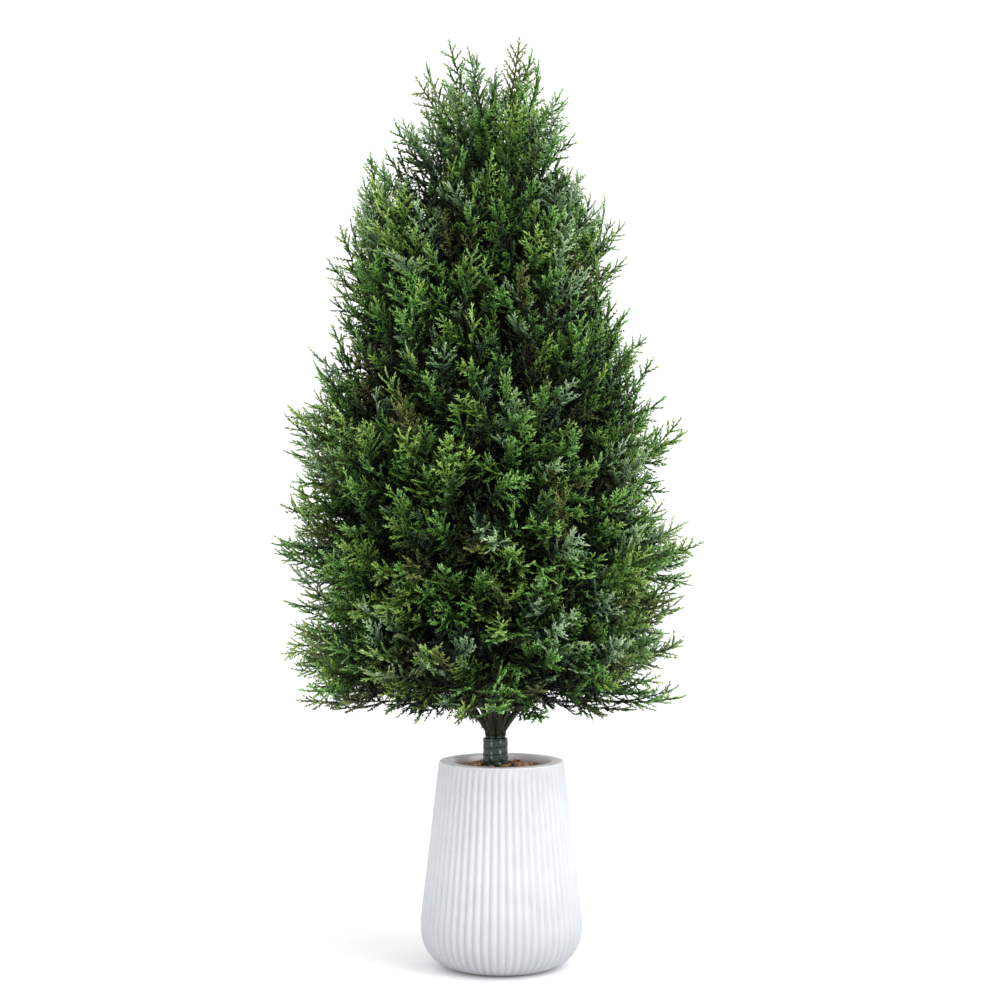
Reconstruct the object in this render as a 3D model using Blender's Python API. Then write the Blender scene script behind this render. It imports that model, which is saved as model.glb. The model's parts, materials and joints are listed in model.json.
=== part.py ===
"""Artificial tabletop cedar in a ribbed planter.

A bundle of eight wired branches stands round a steel pole in a weighted ribbed pot.
The bundle is tied, wrapped in tape and surrounded by gravel.  Each branch bends outward
where it leaves the tape, so each is a body of its own with its origin on that bend.
Metres, +Z up, origin at the centre of the pot's flat base.
"""

import math

import bmesh
import bpy
from mathutils import Vector

# ---------------------------------------------------------------- driving dimensions

GAP = 0.0003                # clearance between neighbouring pieces

# planter
POT_HEIGHT = 0.2025
POT_BASE_RADIUS = 0.0360
POT_BELLY_RADIUS = 0.0801
POT_BELLY_HEIGHT = 0.045
FOOT_ROUNDNESS = 2.5        # power of the foot's curve; 2 would be an ellipse
POT_RIM_RADIUS = 0.0620
POT_WALL = 0.0070
POT_FLOOR = 0.0100
LIP_WIDTH = 0.0130
LIP_DEPTH = 0.0080
NECK_HEIGHT = 0.1870        # where the wall inside turns in under the lip
RIB_COUNT = 60
RIB_DEPTH = 0.0016
INNER_SIDES = 30

# filling of the planter
CEMENT_TOP = 0.072
FOAM_TOP = 0.176
GRAVEL_EDGE_TOP = 0.189
GRAVEL_CROWN_TOP = 0.1945

# trunk
TRUNK_X = -0.006            # the bundle stands slightly left of the pot's axis
POLE_RADIUS = 0.0049
POLE_FOOT = 0.024
POLE_TOP = 0.2220
STEM_RADIUS = 0.0027
RING_RADIUS = 0.0079        # circle that the eight stems stand on
TIE_WIRE_RADIUS = 0.0006
TAPE_WALL = 0.0007
TAPE_FOOT = 0.1766
TAPE_TOP = 0.2245
TAPE_PITCH = 0.0068

# branches
BRANCH_COUNT = 8
HINGE_HEIGHT = 0.2300
BRANCH_LEAN = 0.066         # how far a branch's tip stands outside its foot
STEM_TIP_RADIUS = 0.0016
STEM_SIDES = 6              # the last side faces outward
SLEEVE_WALL = 0.0011
BLADE_HALF_THICKNESS = 0.0006
STEM_STEPS = 16             # lengths that a branch stem is divided into
LEADER_TOP = 0.880
TREE_TOP = 0.914

# the outline that the foliage tips reach: (height, radius about the crown's axis)
CROWN_X = -0.016
CROWN_OUTLINE = (
    (0.235, 0.130),
    (0.262, 0.180),
    (0.320, 0.193),
    (0.420, 0.205),
    (0.520, 0.194),
    (0.600, 0.166),
    (0.700, 0.135),
    (0.776, 0.109),
    (0.816, 0.091),
    (0.855, 0.072),
    (0.895, 0.058),
    (0.914, 0.030),
)


# ---------------------------------------------------------------- helpers


def clear_scene():
    """Removes every object, so that the model starts from nothing."""
    for old in list(bpy.data.objects):
        bpy.data.objects.remove(old, do_unlink=True)


def make_material(name, colour, roughness, metallic=0.0):
    """Returns a Principled material with one colour and finish."""
    material = bpy.data.materials.new(name)
    material.use_nodes = True
    shader = material.node_tree.nodes["Principled BSDF"]
    shader.inputs["Base Color"].default_value = (*colour, 1.0)
    shader.inputs["Roughness"].default_value = roughness
    shader.inputs["Metallic"].default_value = metallic
    material.diffuse_color = (*colour, 1.0)
    return material


def make_object(name, bm, material, parent=None, smooth_angle=35.0):
    """Turns a bmesh into a named object, under a parent if one is given."""
    bmesh.ops.recalc_face_normals(bm, faces=bm.faces)
    mesh = bpy.data.meshes.new(name)
    bm.to_mesh(mesh)
    bm.free()
    mesh.materials.append(material)
    mesh.shade_smooth()
    mesh.set_sharp_from_angle(angle=math.radians(smooth_angle))
    made = bpy.data.objects.new(name, mesh)
    bpy.context.scene.collection.objects.link(made)
    if parent is not None:
        made.parent = parent
    return made


def circle(bm, sides, radius, height, centre_x=0.0, ripple=0.0):
    """Adds a level ring of vertices; ripple lets every second one stand inwards."""
    ring = []
    for index in range(sides):
        angle = 2.0 * math.pi * index / sides
        reach = radius - ripple * (index % 2)
        ring.append(
            bm.verts.new((centre_x + reach * math.cos(angle), reach * math.sin(angle), height))
        )
    return ring


def join_rings(bm, lower, upper):
    """Faces between two closed rings; the finer one may have a multiple of the other's sides."""
    fine, coarse = (lower, upper) if len(lower) >= len(upper) else (upper, lower)
    step = len(fine) // len(coarse)
    for index, corner in enumerate(coarse):
        following = coarse[(index + 1) % len(coarse)]
        run = [fine[(index * step + offset) % len(fine)] for offset in range(step + 1)]
        if step == 1:
            bm.faces.new((run[0], run[1], following, corner))
            continue
        for first, second in zip(run, run[1:]):
            bm.faces.new((first, second, corner))
        bm.faces.new((run[-1], following, corner))


def close_stack(bm, rings):
    """Joins each ring with the next one and the last with the first: a turned solid ring."""
    for index, ring in enumerate(rings):
        join_rings(bm, ring, rings[(index + 1) % len(rings)])


def turned_ring(name, outline, material, sides, centre_x=0.0):
    """A solid of revolution with a hole: outline is a closed loop of (radius, height)."""
    bm = bmesh.new()
    close_stack(bm, [circle(bm, sides, radius, height, centre_x) for radius, height in outline])
    return make_object(name, bm, material)


# ---------------------------------------------------------------- planter and its filling


def pot_outer_radius(height):
    """Straight taper above the belly; below it a quarter ellipse, squared off a little."""
    if height >= POT_BELLY_HEIGHT:
        share = (height - POT_BELLY_HEIGHT) / (POT_HEIGHT - POT_BELLY_HEIGHT)
        return POT_BELLY_RADIUS + (POT_RIM_RADIUS - POT_BELLY_RADIUS) * share
    drop = 1.0 - height / POT_BELLY_HEIGHT
    fullness = (1.0 - drop**FOOT_ROUNDNESS) ** (1.0 / FOOT_ROUNDNESS)
    return POT_BASE_RADIUS + (POT_BELLY_RADIUS - POT_BASE_RADIUS) * fullness


def pot_inner_radius(height):
    """The wall inside, one wall thickness in, and further in under the wide lip."""
    lip_radius = POT_RIM_RADIUS - LIP_WIDTH
    lip_foot = POT_HEIGHT - LIP_DEPTH
    if height >= lip_foot:
        return lip_radius
    plain = pot_outer_radius(height) - POT_WALL
    return min(plain, lip_radius + (lip_foot - height))


def build_planter(material):
    """Ribbed outside, flat base, smooth lip and a hollow inside."""
    bm = bmesh.new()
    base = circle(bm, RIB_COUNT * 2, POT_BASE_RADIUS, 0.0)
    bm.faces.new(base)
    rings = [base]
    lip_side = POT_HEIGHT - 0.003
    for height in (0.003, 0.010, 0.022, POT_BELLY_HEIGHT, lip_side - 0.002):
        rings.append(circle(bm, RIB_COUNT * 2, pot_outer_radius(height), height, ripple=RIB_DEPTH))
    rings.append(circle(bm, RIB_COUNT * 2, POT_RIM_RADIUS, lip_side))
    rings.append(circle(bm, RIB_COUNT * 2, POT_RIM_RADIUS, POT_HEIGHT))
    for height in (POT_HEIGHT, POT_HEIGHT - LIP_DEPTH, NECK_HEIGHT, POT_BELLY_HEIGHT, 0.025, POT_FLOOR):
        rings.append(circle(bm, INNER_SIDES, pot_inner_radius(height), height))
    for lower, upper in zip(rings, rings[1:]):
        join_rings(bm, lower, upper)
    bm.faces.new(rings[-1])
    return make_object("planter", bm, material)


def build_cement_weight(material):
    """Cement poured into the bottom of the pot, round the foot of the bundle."""
    socket = RING_RADIUS + STEM_RADIUS + GAP
    floor = POT_FLOOR + GAP
    bm = bmesh.new()
    under = circle(bm, INNER_SIDES, pot_inner_radius(floor) - GAP, floor)
    bm.faces.new(under)
    rings = [under]
    for height in (0.025, POT_BELLY_HEIGHT, CEMENT_TOP):
        rings.append(circle(bm, INNER_SIDES, pot_inner_radius(height) - 2.0 * GAP, height))
    rings.append(circle(bm, INNER_SIDES, socket, CEMENT_TOP, TRUNK_X))
    rings.append(circle(bm, INNER_SIDES, socket, POLE_FOOT - GAP, TRUNK_X))
    for lower, upper in zip(rings, rings[1:]):
        join_rings(bm, lower, upper)
    bm.faces.new(rings[-1])
    return make_object("cement_weight", bm, material)


def build_foam_filler(material):
    """Foam that fills the pot between the cement and the gravel."""
    hole = RING_RADIUS + STEM_RADIUS + GAP
    foot = CEMENT_TOP + GAP
    bm = bmesh.new()
    rings = [circle(bm, INNER_SIDES, hole, foot, TRUNK_X)]
    for height in (foot, FOAM_TOP):
        rings.append(circle(bm, INNER_SIDES, pot_inner_radius(height) - 2.0 * GAP, height))
    rings.append(circle(bm, INNER_SIDES, hole, FOAM_TOP, TRUNK_X))
    close_stack(bm, rings)
    return make_object("foam_filler", bm, material)


def gravel_height(share, angle):
    """Height of the gravel from the trunk, share 0, to the wall, share 1, with small waves."""
    mound = GRAVEL_CROWN_TOP + (GRAVEL_EDGE_TOP - GRAVEL_CROWN_TOP) * share
    waves = math.sin(5.0 * angle + 9.0 * share) * math.cos(7.0 * angle - 6.0 * share)
    return mound + 0.0014 * (1.0 - share) * waves


def build_gravel_bed(material):
    """Glued gravel, one bumpy bed that is heaped against the trunk."""
    hole = RING_RADIUS + STEM_RADIUS + 2.0 * TIE_WIRE_RADIUS + TAPE_WALL + 3.0 * GAP
    foot = FOAM_TOP + GAP
    wall = pot_inner_radius(GRAVEL_EDGE_TOP) - 3.0 * GAP
    bm = bmesh.new()
    rings = [circle(bm, INNER_SIDES, hole, foot, TRUNK_X), circle(bm, INNER_SIDES, wall, foot)]
    for share in (1.0, 0.75, 0.5, 0.25, 0.0):
        radius = hole + (wall - hole) * share
        ring = circle(bm, INNER_SIDES, radius, 0.0, TRUNK_X * (1.0 - share))
        for index, corner in enumerate(ring):
            corner.co.z = gravel_height(share, 2.0 * math.pi * index / INNER_SIDES)
        rings.append(ring)
    close_stack(bm, rings)
    return make_object("gravel_bed", bm, material)


# ---------------------------------------------------------------- trunk


def build_pole(material):
    """Steel tube in the middle of the bundle; its open top holds the leader's foot."""
    bore = STEM_RADIUS + GAP
    outline = (
        (POLE_RADIUS, POLE_FOOT),
        (POLE_RADIUS, POLE_TOP),
        (bore, POLE_TOP),
        (bore, POLE_FOOT),
    )
    return turned_ring("trunk_pole", outline, material, 16, TRUNK_X)


def build_tie_wire(name, height, material):
    """One ring of binding wire round the bundle, under the tape."""
    middle = RING_RADIUS + STEM_RADIUS + GAP + TIE_WIRE_RADIUS
    section = []
    for index in range(6):
        angle = -2.0 * math.pi * index / 6
        section.append(
            (
                middle + TIE_WIRE_RADIUS * math.cos(angle),
                height + TIE_WIRE_RADIUS * math.sin(angle),
            )
        )
    return turned_ring(name, section, material, 32, TRUNK_X)


def build_tape(material):
    """Stretch tape wound up the bundle; each turn laps the one below it in a small step."""
    inner = RING_RADIUS + STEM_RADIUS + 2.0 * TIE_WIRE_RADIUS + 2.0 * GAP
    outline = [(inner, TAPE_TOP), (inner, TAPE_FOOT)]
    turns = int((TAPE_TOP - TAPE_FOOT) / TAPE_PITCH)
    for turn in range(turns):
        foot = TAPE_FOOT + turn * TAPE_PITCH
        outline.append((inner + TAPE_WALL, foot))
        outline.append((inner + 0.6 * TAPE_WALL, foot + TAPE_PITCH * 0.96))
    outline.append((inner + TAPE_WALL, TAPE_TOP))
    return turned_ring("trunk_tape", outline, material, 32, TRUNK_X)


# ---------------------------------------------------------------- stems and sprays


def branch_angle(index):
    """Direction of a branch about the trunk; the first one stands at the right front."""
    return 2.0 * math.pi * (index + 0.5) / BRANCH_COUNT


def branch_top(index):
    """Tall and short branches alternate round the trunk."""
    return 0.705 if index % 2 == 0 else 0.655


def branch_line(index, steps):
    """Points along a branch stem from its bend to its tip: it leans out, then rises."""
    top = branch_top(index)
    line = []
    for step in range(steps + 1):
        share = step / steps
        radius = RING_RADIUS + BRANCH_LEAN * math.sin(0.5 * math.pi * share)
        line.append(Vector((radius, 0.0, HINGE_HEIGHT + (top - HINGE_HEIGHT) * share)))
    return line


def line_frames(line):
    """For each point: its place, and the two directions across the line (outward, sideways)."""
    frames = []
    for index, point in enumerate(line):
        before = line[max(index - 1, 0)]
        after = line[min(index + 1, len(line) - 1)]
        along = (after - before).normalized()
        sideways = Vector((0.0, 1.0, 0.0))
        outward = sideways.cross(along).normalized()
        frames.append((point, outward, sideways))
    return frames


def tube_ring(bm, frame, radius):
    """One ring of a tube, in the plane across its line."""
    point, outward, sideways = frame
    ring = []
    for index in range(STEM_SIDES):
        angle = 2.0 * math.pi * (index + 0.5) / STEM_SIDES
        ring.append(
            bm.verts.new(
                point + outward * (radius * math.cos(angle)) + sideways * (radius * math.sin(angle))
            )
        )
    return ring


def stem_radius(share):
    """A stem thins from its foot, share 0, to its tip, share 1."""
    return STEM_RADIUS + (STEM_TIP_RADIUS - STEM_RADIUS) * share


def build_stem(name, line, material, parent=None, round_foot=True):
    """A wired stem; a round foot is centred on the line's first point, where it bends."""
    bm = bmesh.new()
    frames = line_frames(line)
    point, outward, sideways = frames[0]
    down = sideways.cross(outward).normalized()
    down = down if down.z < 0.0 else -down
    rings = []
    if round_foot:
        for angle in (70.0, 35.0):
            drop = STEM_RADIUS * math.sin(math.radians(angle))
            width = STEM_RADIUS * math.cos(math.radians(angle))
            rings.append(tube_ring(bm, (point + down * drop, outward, sideways), width))
    last = len(frames) - 1
    for index, frame in enumerate(frames):
        rings.append(tube_ring(bm, frame, stem_radius(index / last)))
    for lower, upper in zip(rings, rings[1:]):
        join_rings(bm, lower, upper)
    bm.faces.new(rings[0])
    bm.faces.new(rings[-1])
    return make_object(name, bm, material, parent)


def crown_radius(height):
    """Reach of the foliage at a height, from the outline's points."""
    for (low, low_radius), (high, high_radius) in zip(CROWN_OUTLINE, CROWN_OUTLINE[1:]):
        if height <= high:
            share = max(height - low, 0.0) / (high - low)
            return low_radius + (high_radius - low_radius) * share
    return CROWN_OUTLINE[-1][1]


def rise_angle(height, extra):
    """Sprays lie level low down and stand up towards the top; extra is in degrees."""
    share = (height - HINGE_HEIGHT) / (LEADER_TOP - HINGE_HEIGHT)
    return math.radians(extra - 2.0 + 60.0 * max(share, 0.0) ** 0.85)


def spray_tip(base, azimuth, azimuth_world, reach_scale, highest, extra_rise=0.0):
    """Where a spray ends: on the crown's outline, along its rise from its base."""
    tangent = math.tan(rise_angle(base.z, extra_rise))
    start = math.hypot(base.x, base.y)
    height = base.z
    reach = start
    for _ in range(8):
        shift = (CROWN_X - TRUNK_X) * math.cos(azimuth_world)
        reach = max(crown_radius(height) * reach_scale + shift, start + 0.02)
        height = min(base.z + (reach - start) * tangent, highest)
    return Vector((reach * math.cos(azimuth), reach * math.sin(azimuth), height))


def add_blade(bm, root_face, tip, width_per_radius, widest):
    """Grows a flat pointed blade from one face of a sleeve out to tip."""
    low_a, low_b, high_b, high_a = root_face
    base = (low_a.co + low_b.co + high_b.co + high_a.co) / 4.0
    run = tip - base
    across = Vector((-run.y, run.x, 0.0)).normalized()
    if across.dot(low_b.co - low_a.co) < 0.0:
        across = -across
    normal = across.cross(run).normalized()
    if normal.dot(high_a.co - low_a.co) < 0.0:
        normal = -normal
    section = [low_a, low_b, high_b, high_a]
    for share, fullness in ((0.30, 0.8), (0.62, 1.0), (1.0, 0.12)):
        middle = base + run * share
        half = min(math.hypot(middle.x, middle.y) * width_per_radius, widest) * fullness
        thick = BLADE_HALF_THICKNESS
        following = [
            bm.verts.new(middle - across * half - normal * thick),
            bm.verts.new(middle + across * half - normal * thick),
            bm.verts.new(middle + across * half + normal * thick),
            bm.verts.new(middle - across * half + normal * thick),
        ]
        for index in range(4):
            nearer, next_nearer = section[index], section[(index + 1) % 4]
            next_further, further = following[(index + 1) % 4], following[index]
            bm.faces.new((nearer, next_nearer, next_further, further))
        section = following
    bm.faces.new(section)


def sleeve_rings(bm, frames, first, last, steps):
    """Rings of a sleeve from frame first to frame last: its outside, then its bore."""
    outside = []
    bore = []
    for index in range(first, last + 1):
        fit = stem_radius(index / steps) + GAP / math.cos(math.pi / STEM_SIDES)
        outside.append(tube_ring(bm, frames[index], fit + SLEEVE_WALL))
        bore.append(tube_ring(bm, frames[index], fit))
    return outside, bore


def build_sprays(name, frames, first, last, steps, blades, material, parent=None):
    """A sleeve on a stem with its blades.

    blades holds (ring, side, tip, width per radius, widest); every other face stays plain.
    """
    bm = bmesh.new()
    outside, bore = sleeve_rings(bm, frames, first, last, steps)
    taken = {(ring, side): rest for ring, side, *rest in blades}
    for ring, (lower, upper) in enumerate(zip(outside, outside[1:])):
        for side in range(STEM_SIDES):
            following = (side + 1) % STEM_SIDES
            corners = (lower[side], lower[following], upper[following], upper[side])
            if (ring, side) in taken:
                add_blade(bm, corners, *taken[(ring, side)])
            else:
                bm.faces.new(corners)
    for lower, upper in zip(bore, bore[1:]):
        join_rings(bm, lower, upper)
    join_rings(bm, outside[0], bore[0])
    join_rings(bm, outside[-1], bore[-1])
    return make_object(name, bm, material, parent, smooth_angle=20.0)


def branch_blades(frames, first, last, index):
    """Blades of one branch sleeve: one outward, then a pair to its two sides, and so on."""
    blades = []
    highest = branch_top(index) + 0.080
    for ring in range(last - first):
        base = (frames[first + ring][0] + frames[first + ring + 1][0]) / 2.0
        if ring % 2 == 0:
            turns = ((STEM_SIDES - 1, 0.0, 0.24, 0.020),)
        else:
            turns = ((STEM_SIDES - 2, -0.19, 0.11, 0.014), (0, 0.19, 0.11, 0.014))
        for side, turn, width, widest in turns:
            tip = spray_tip(base, turn, branch_angle(index) + turn, 1.0, highest)
            blades.append((ring, side, tip, width, widest))
    return blades


def build_branch(index, stem_material, spray_materials):
    """One bending branch: an empty on its bend, its stem and three lengths of sprays."""
    angle = branch_angle(index)
    pivot = bpy.data.objects.new(f"branch_{index + 1}_bend", None)
    bpy.context.scene.collection.objects.link(pivot)
    pivot.location = (
        TRUNK_X + RING_RADIUS * math.cos(angle),
        RING_RADIUS * math.sin(angle),
        HINGE_HEIGHT,
    )
    pivot.rotation_euler = (0.0, 0.0, angle)
    steps = STEM_STEPS
    line = branch_line(index, steps)
    frames = line_frames(line)
    made = [build_stem(f"branch_{index + 1}_stem", line, stem_material, pivot)]
    for label, first, last, material in (
        ("lower", 1, 6, spray_materials[0]),
        ("middle", 7, 11, spray_materials[1]),
        ("upper", 12, 16, spray_materials[2]),
    ):
        blades = branch_blades(frames, first, last, index)
        name = f"branch_{index + 1}_{label}_sprays"
        made.append(build_sprays(name, frames, first, last, steps, blades, material, pivot))
    for piece in made:
        shift = Vector((RING_RADIUS, 0.0, HINGE_HEIGHT))
        for corner in piece.data.vertices:
            corner.co -= shift


def build_stem_foot(index, material):
    """The fixed length of a branch wire, from the cement up to just under its bend."""
    angle = branch_angle(index)
    top = HINGE_HEIGHT - STEM_RADIUS - GAP
    line = [Vector((0.0, 0.0, POLE_FOOT)), Vector((0.0, 0.0, top))]
    bm = bmesh.new()
    rings = []
    for frame in line_frames(line):
        rings.append(tube_ring(bm, frame, STEM_RADIUS))
    join_rings(bm, rings[0], rings[1])
    bm.faces.new(rings[0])
    bm.faces.new(rings[1])
    made = make_object(f"branch_{index + 1}_foot_wire", bm, material)
    made.location = (
        TRUNK_X + RING_RADIUS * math.cos(angle),
        RING_RADIUS * math.sin(angle),
        0.0,
    )
    made.rotation_euler = (0.0, 0.0, angle)


def leader_line(steps):
    """The leader stands straight up from inside the pole."""
    foot = POLE_TOP - 0.050
    return [
        Vector((0.0, 0.0, foot + (LEADER_TOP - foot) * step / steps)) for step in range(steps + 1)
    ]


def build_leader(stem_material, spray_material):
    """The central stem with its sprays, which make the heart and the top of the tree."""
    steps = 24
    line = leader_line(steps)
    frames = line_frames(line)
    stem = build_stem("leader_stem", line, stem_material, round_foot=False)
    stem.location.x = TRUNK_X
    for label, first, last, scale, per_ring, extra_rise in (
        ("inner", 8, 14, 0.20, 2, 0.0),
        ("middle", 15, 19, 0.34, 2, 0.0),
        ("top", 20, 24, 1.0, 3, 12.0),
    ):
        blades = []
        for ring in range(last - first):
            base = (frames[first + ring][0] + frames[first + ring + 1][0]) / 2.0
            for copy in range(per_ring):
                side = (ring + copy * STEM_SIDES // per_ring) % STEM_SIDES
                azimuth = 2.0 * math.pi * (side + 1.0) / STEM_SIDES
                tip = spray_tip(base, azimuth, azimuth, scale, TREE_TOP, extra_rise)
                blades.append((ring, side, tip, 0.30, 0.014))
        name = f"leader_{label}_sprays"
        made = build_sprays(name, frames, first, last, steps, blades, spray_material)
        made.location.x = TRUNK_X


# ---------------------------------------------------------------- assembly


def main():
    """Builds every piece where it stands in the finished tree."""
    clear_scene()
    white = make_material("matt_white_ceramic", (0.90, 0.91, 0.93), 0.62)
    cement = make_material("grey_cement", (0.42, 0.41, 0.39), 0.95)
    foam = make_material("green_foam", (0.14, 0.24, 0.12), 0.95)
    gravel = make_material("river_gravel", (0.34, 0.19, 0.10), 0.65)
    steel = make_material("painted_steel_tube", (0.10, 0.12, 0.10), 0.45, 0.8)
    tie = make_material("annealed_tie_wire", (0.25, 0.25, 0.24), 0.40, 1.0)
    tape = make_material("green_stem_tape", (0.035, 0.075, 0.050), 0.35)
    stem = make_material("moulded_brown_stem", (0.060, 0.050, 0.030), 0.55)
    sprays = (
        make_material("cedar_dark_green", (0.035, 0.105, 0.030), 0.55),
        make_material("cedar_mid_green", (0.060, 0.185, 0.040), 0.55),
        make_material("cedar_light_green", (0.180, 0.340, 0.070), 0.55),
    )
    build_planter(white)
    build_cement_weight(cement)
    build_foam_filler(foam)
    build_gravel_bed(gravel)
    build_pole(steel)
    build_tie_wire("lower_tie_wire", 0.1860, tie)
    build_tie_wire("upper_tie_wire", 0.2170, tie)
    build_tape(tape)
    for index in range(BRANCH_COUNT):
        build_stem_foot(index, stem)
        build_branch(index, stem, sprays)
    build_leader(stem, sprays[2])


main()
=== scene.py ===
"""Looks of the artificial tabletop cedar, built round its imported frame.

The frame gives every size and place: the planter, its filling, the taped bundle of stems and
the eight branches that bend outward at the top of the tape.  This script adds the ribbed
planter, the gravel stones, the wound tape, the sheathed stems and the feathery sprays, and
gives each of them, and each hidden node of the frame, its finish.
Metres, +Z up, the front of the tree towards -Y.
"""

import json
import logging
import math
from dataclasses import dataclass, field
from enum import Enum

import bpy
import numpy as np
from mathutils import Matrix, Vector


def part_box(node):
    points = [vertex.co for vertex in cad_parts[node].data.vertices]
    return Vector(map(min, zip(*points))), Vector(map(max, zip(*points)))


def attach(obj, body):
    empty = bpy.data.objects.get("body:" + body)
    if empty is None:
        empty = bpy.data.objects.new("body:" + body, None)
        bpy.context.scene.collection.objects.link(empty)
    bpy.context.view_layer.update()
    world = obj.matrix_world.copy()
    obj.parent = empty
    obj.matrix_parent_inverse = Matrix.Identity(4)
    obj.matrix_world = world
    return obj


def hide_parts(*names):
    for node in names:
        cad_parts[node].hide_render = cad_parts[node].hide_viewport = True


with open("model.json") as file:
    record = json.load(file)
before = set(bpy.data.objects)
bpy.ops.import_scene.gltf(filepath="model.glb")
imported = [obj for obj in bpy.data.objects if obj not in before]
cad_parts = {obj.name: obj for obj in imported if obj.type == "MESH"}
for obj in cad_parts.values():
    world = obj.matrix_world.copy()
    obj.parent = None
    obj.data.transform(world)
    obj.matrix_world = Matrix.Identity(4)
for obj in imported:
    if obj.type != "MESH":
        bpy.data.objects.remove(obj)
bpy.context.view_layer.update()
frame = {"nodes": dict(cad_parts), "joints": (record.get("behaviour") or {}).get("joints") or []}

MILLIMETRE = 0.001
BRANCHES = 8
LOG = logging.getLogger("tabletop_cedar")
GOLDEN_RATIO = 0.618034
SHADE_MAP = "shades"  # the UV map that carries a surface's two shading values
END_CONE = 0.4  # height of a tube's end cone, as a share of its radius


# ------------------------------------------------------------------ surfaces in numpy


@dataclass
class Surface:
    """Points and faces of a shape, with two shading values for each point.

    Attributes:
        points: (n, 3) places.
        quads: (q, 4) corner numbers, anticlockwise seen from outside.
        triangles: (t, 3) corner numbers, the same way round.
        shades: (n, 2) values for the piece's own UV map, or zeros.
    """

    points: np.ndarray
    quads: np.ndarray = field(default_factory=lambda: np.zeros((0, 4), int))
    triangles: np.ndarray = field(default_factory=lambda: np.zeros((0, 3), int))
    shades: np.ndarray | None = None

    def shade_values(self) -> np.ndarray:
        """The shades, or zeros where none were given."""
        return np.zeros((len(self.points), 2)) if self.shades is None else self.shades


def join_surfaces(parts: list[Surface]) -> Surface:
    """Puts several surfaces into one, and renumbers their corners.

    Args:
        parts: The surfaces, in order.

    Returns:
        One surface that holds them all.
    """
    starts = np.cumsum([0] + [len(part.points) for part in parts[:-1]])
    return Surface(
        points=np.concatenate([part.points for part in parts]),
        quads=np.concatenate([part.quads + start for part, start in zip(parts, starts)]),
        triangles=np.concatenate([part.triangles + start for part, start in zip(parts, starts)]),
        shades=np.concatenate([part.shade_values() for part in parts]),
    )


def grid_quads(rows: int, columns: int, wrapped: bool = True) -> np.ndarray:
    """Faces of a grid whose point number is row * columns + column.

    Args:
        rows: Rows of points.
        columns: Points in a row.
        wrapped: Whether the last column meets the first.

    Returns:
        (faces, 4) corner numbers.
    """
    row = np.arange(rows - 1)[:, None]
    column = np.arange(columns if wrapped else columns - 1)[None, :]
    following = (column + 1) % columns
    corners = [
        row * columns + column,
        row * columns + following,
        (row + 1) * columns + following,
        (row + 1) * columns + column,
    ]
    shape = np.broadcast(row, column).shape
    return np.stack([np.broadcast_to(corner, shape) for corner in corners], -1).reshape(-1, 4)


def cap_fans(rows: int, columns: int) -> np.ndarray:
    """Triangles that close both ends of a wrapped grid with two pole points.

    The poles are the two points after the grid's own: first the one below row 0, then the
    one above the last row.

    Args:
        rows: Rows of points.
        columns: Points in a row.

    Returns:
        (2 * columns, 3) corner numbers.
    """
    column = np.arange(columns)
    following = (column + 1) % columns
    last = (rows - 1) * columns
    low_pole = np.full(columns, rows * columns)
    high_pole = low_pole + 1
    below = np.stack([low_pole, following, column], -1)
    above = np.stack([high_pole, last + column, last + following], -1)
    return np.concatenate([below, above])


def unit(vectors: np.ndarray) -> np.ndarray:
    """Each vector divided by its length, which is kept above zero."""
    return vectors / np.maximum(np.linalg.norm(vectors, axis=-1, keepdims=True), 1e-12)


def turns(count: int) -> np.ndarray:
    """Angles of that many points spread evenly round a circle."""
    return 2.0 * math.pi * np.arange(count) / count


def swept_tube(path: np.ndarray, radii: np.ndarray, sides: int, across: np.ndarray) -> Surface:
    """A closed tube: a circle carried along a path, with a low cone at each end.

    A point stands at path + radius * (cos(a) * u + sin(a) * w), where u and w are the two
    directions across the path.

    Args:
        path: (rows, 3) centre line.
        radii: (rows,) or (rows, sides) distances from it.
        sides: Points round the tube.
        across: A direction that is never along the path.

    Returns:
        The tube.
    """
    along = unit(np.gradient(path, axis=0))
    first = unit(np.cross(across, along))
    second = np.cross(along, first)
    angle = turns(sides)
    reach = radii if radii.ndim == 2 else radii[:, None]
    ring = first[:, None] * np.cos(angle)[None, :, None] + second[:, None] * np.sin(angle)[None, :, None]
    points = path[:, None] + ring * reach[..., None]
    cone = END_CONE * reach.mean(axis=1)
    poles = np.stack([path[0] - along[0] * cone[0], path[-1] + along[-1] * cone[-1]])
    everything = np.concatenate([points.reshape(-1, 3), poles])
    return Surface(
        points=everything,
        quads=grid_quads(len(path), sides),
        triangles=cap_fans(len(path), sides),
        shades=np.zeros((len(everything), 2)),
    )


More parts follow.
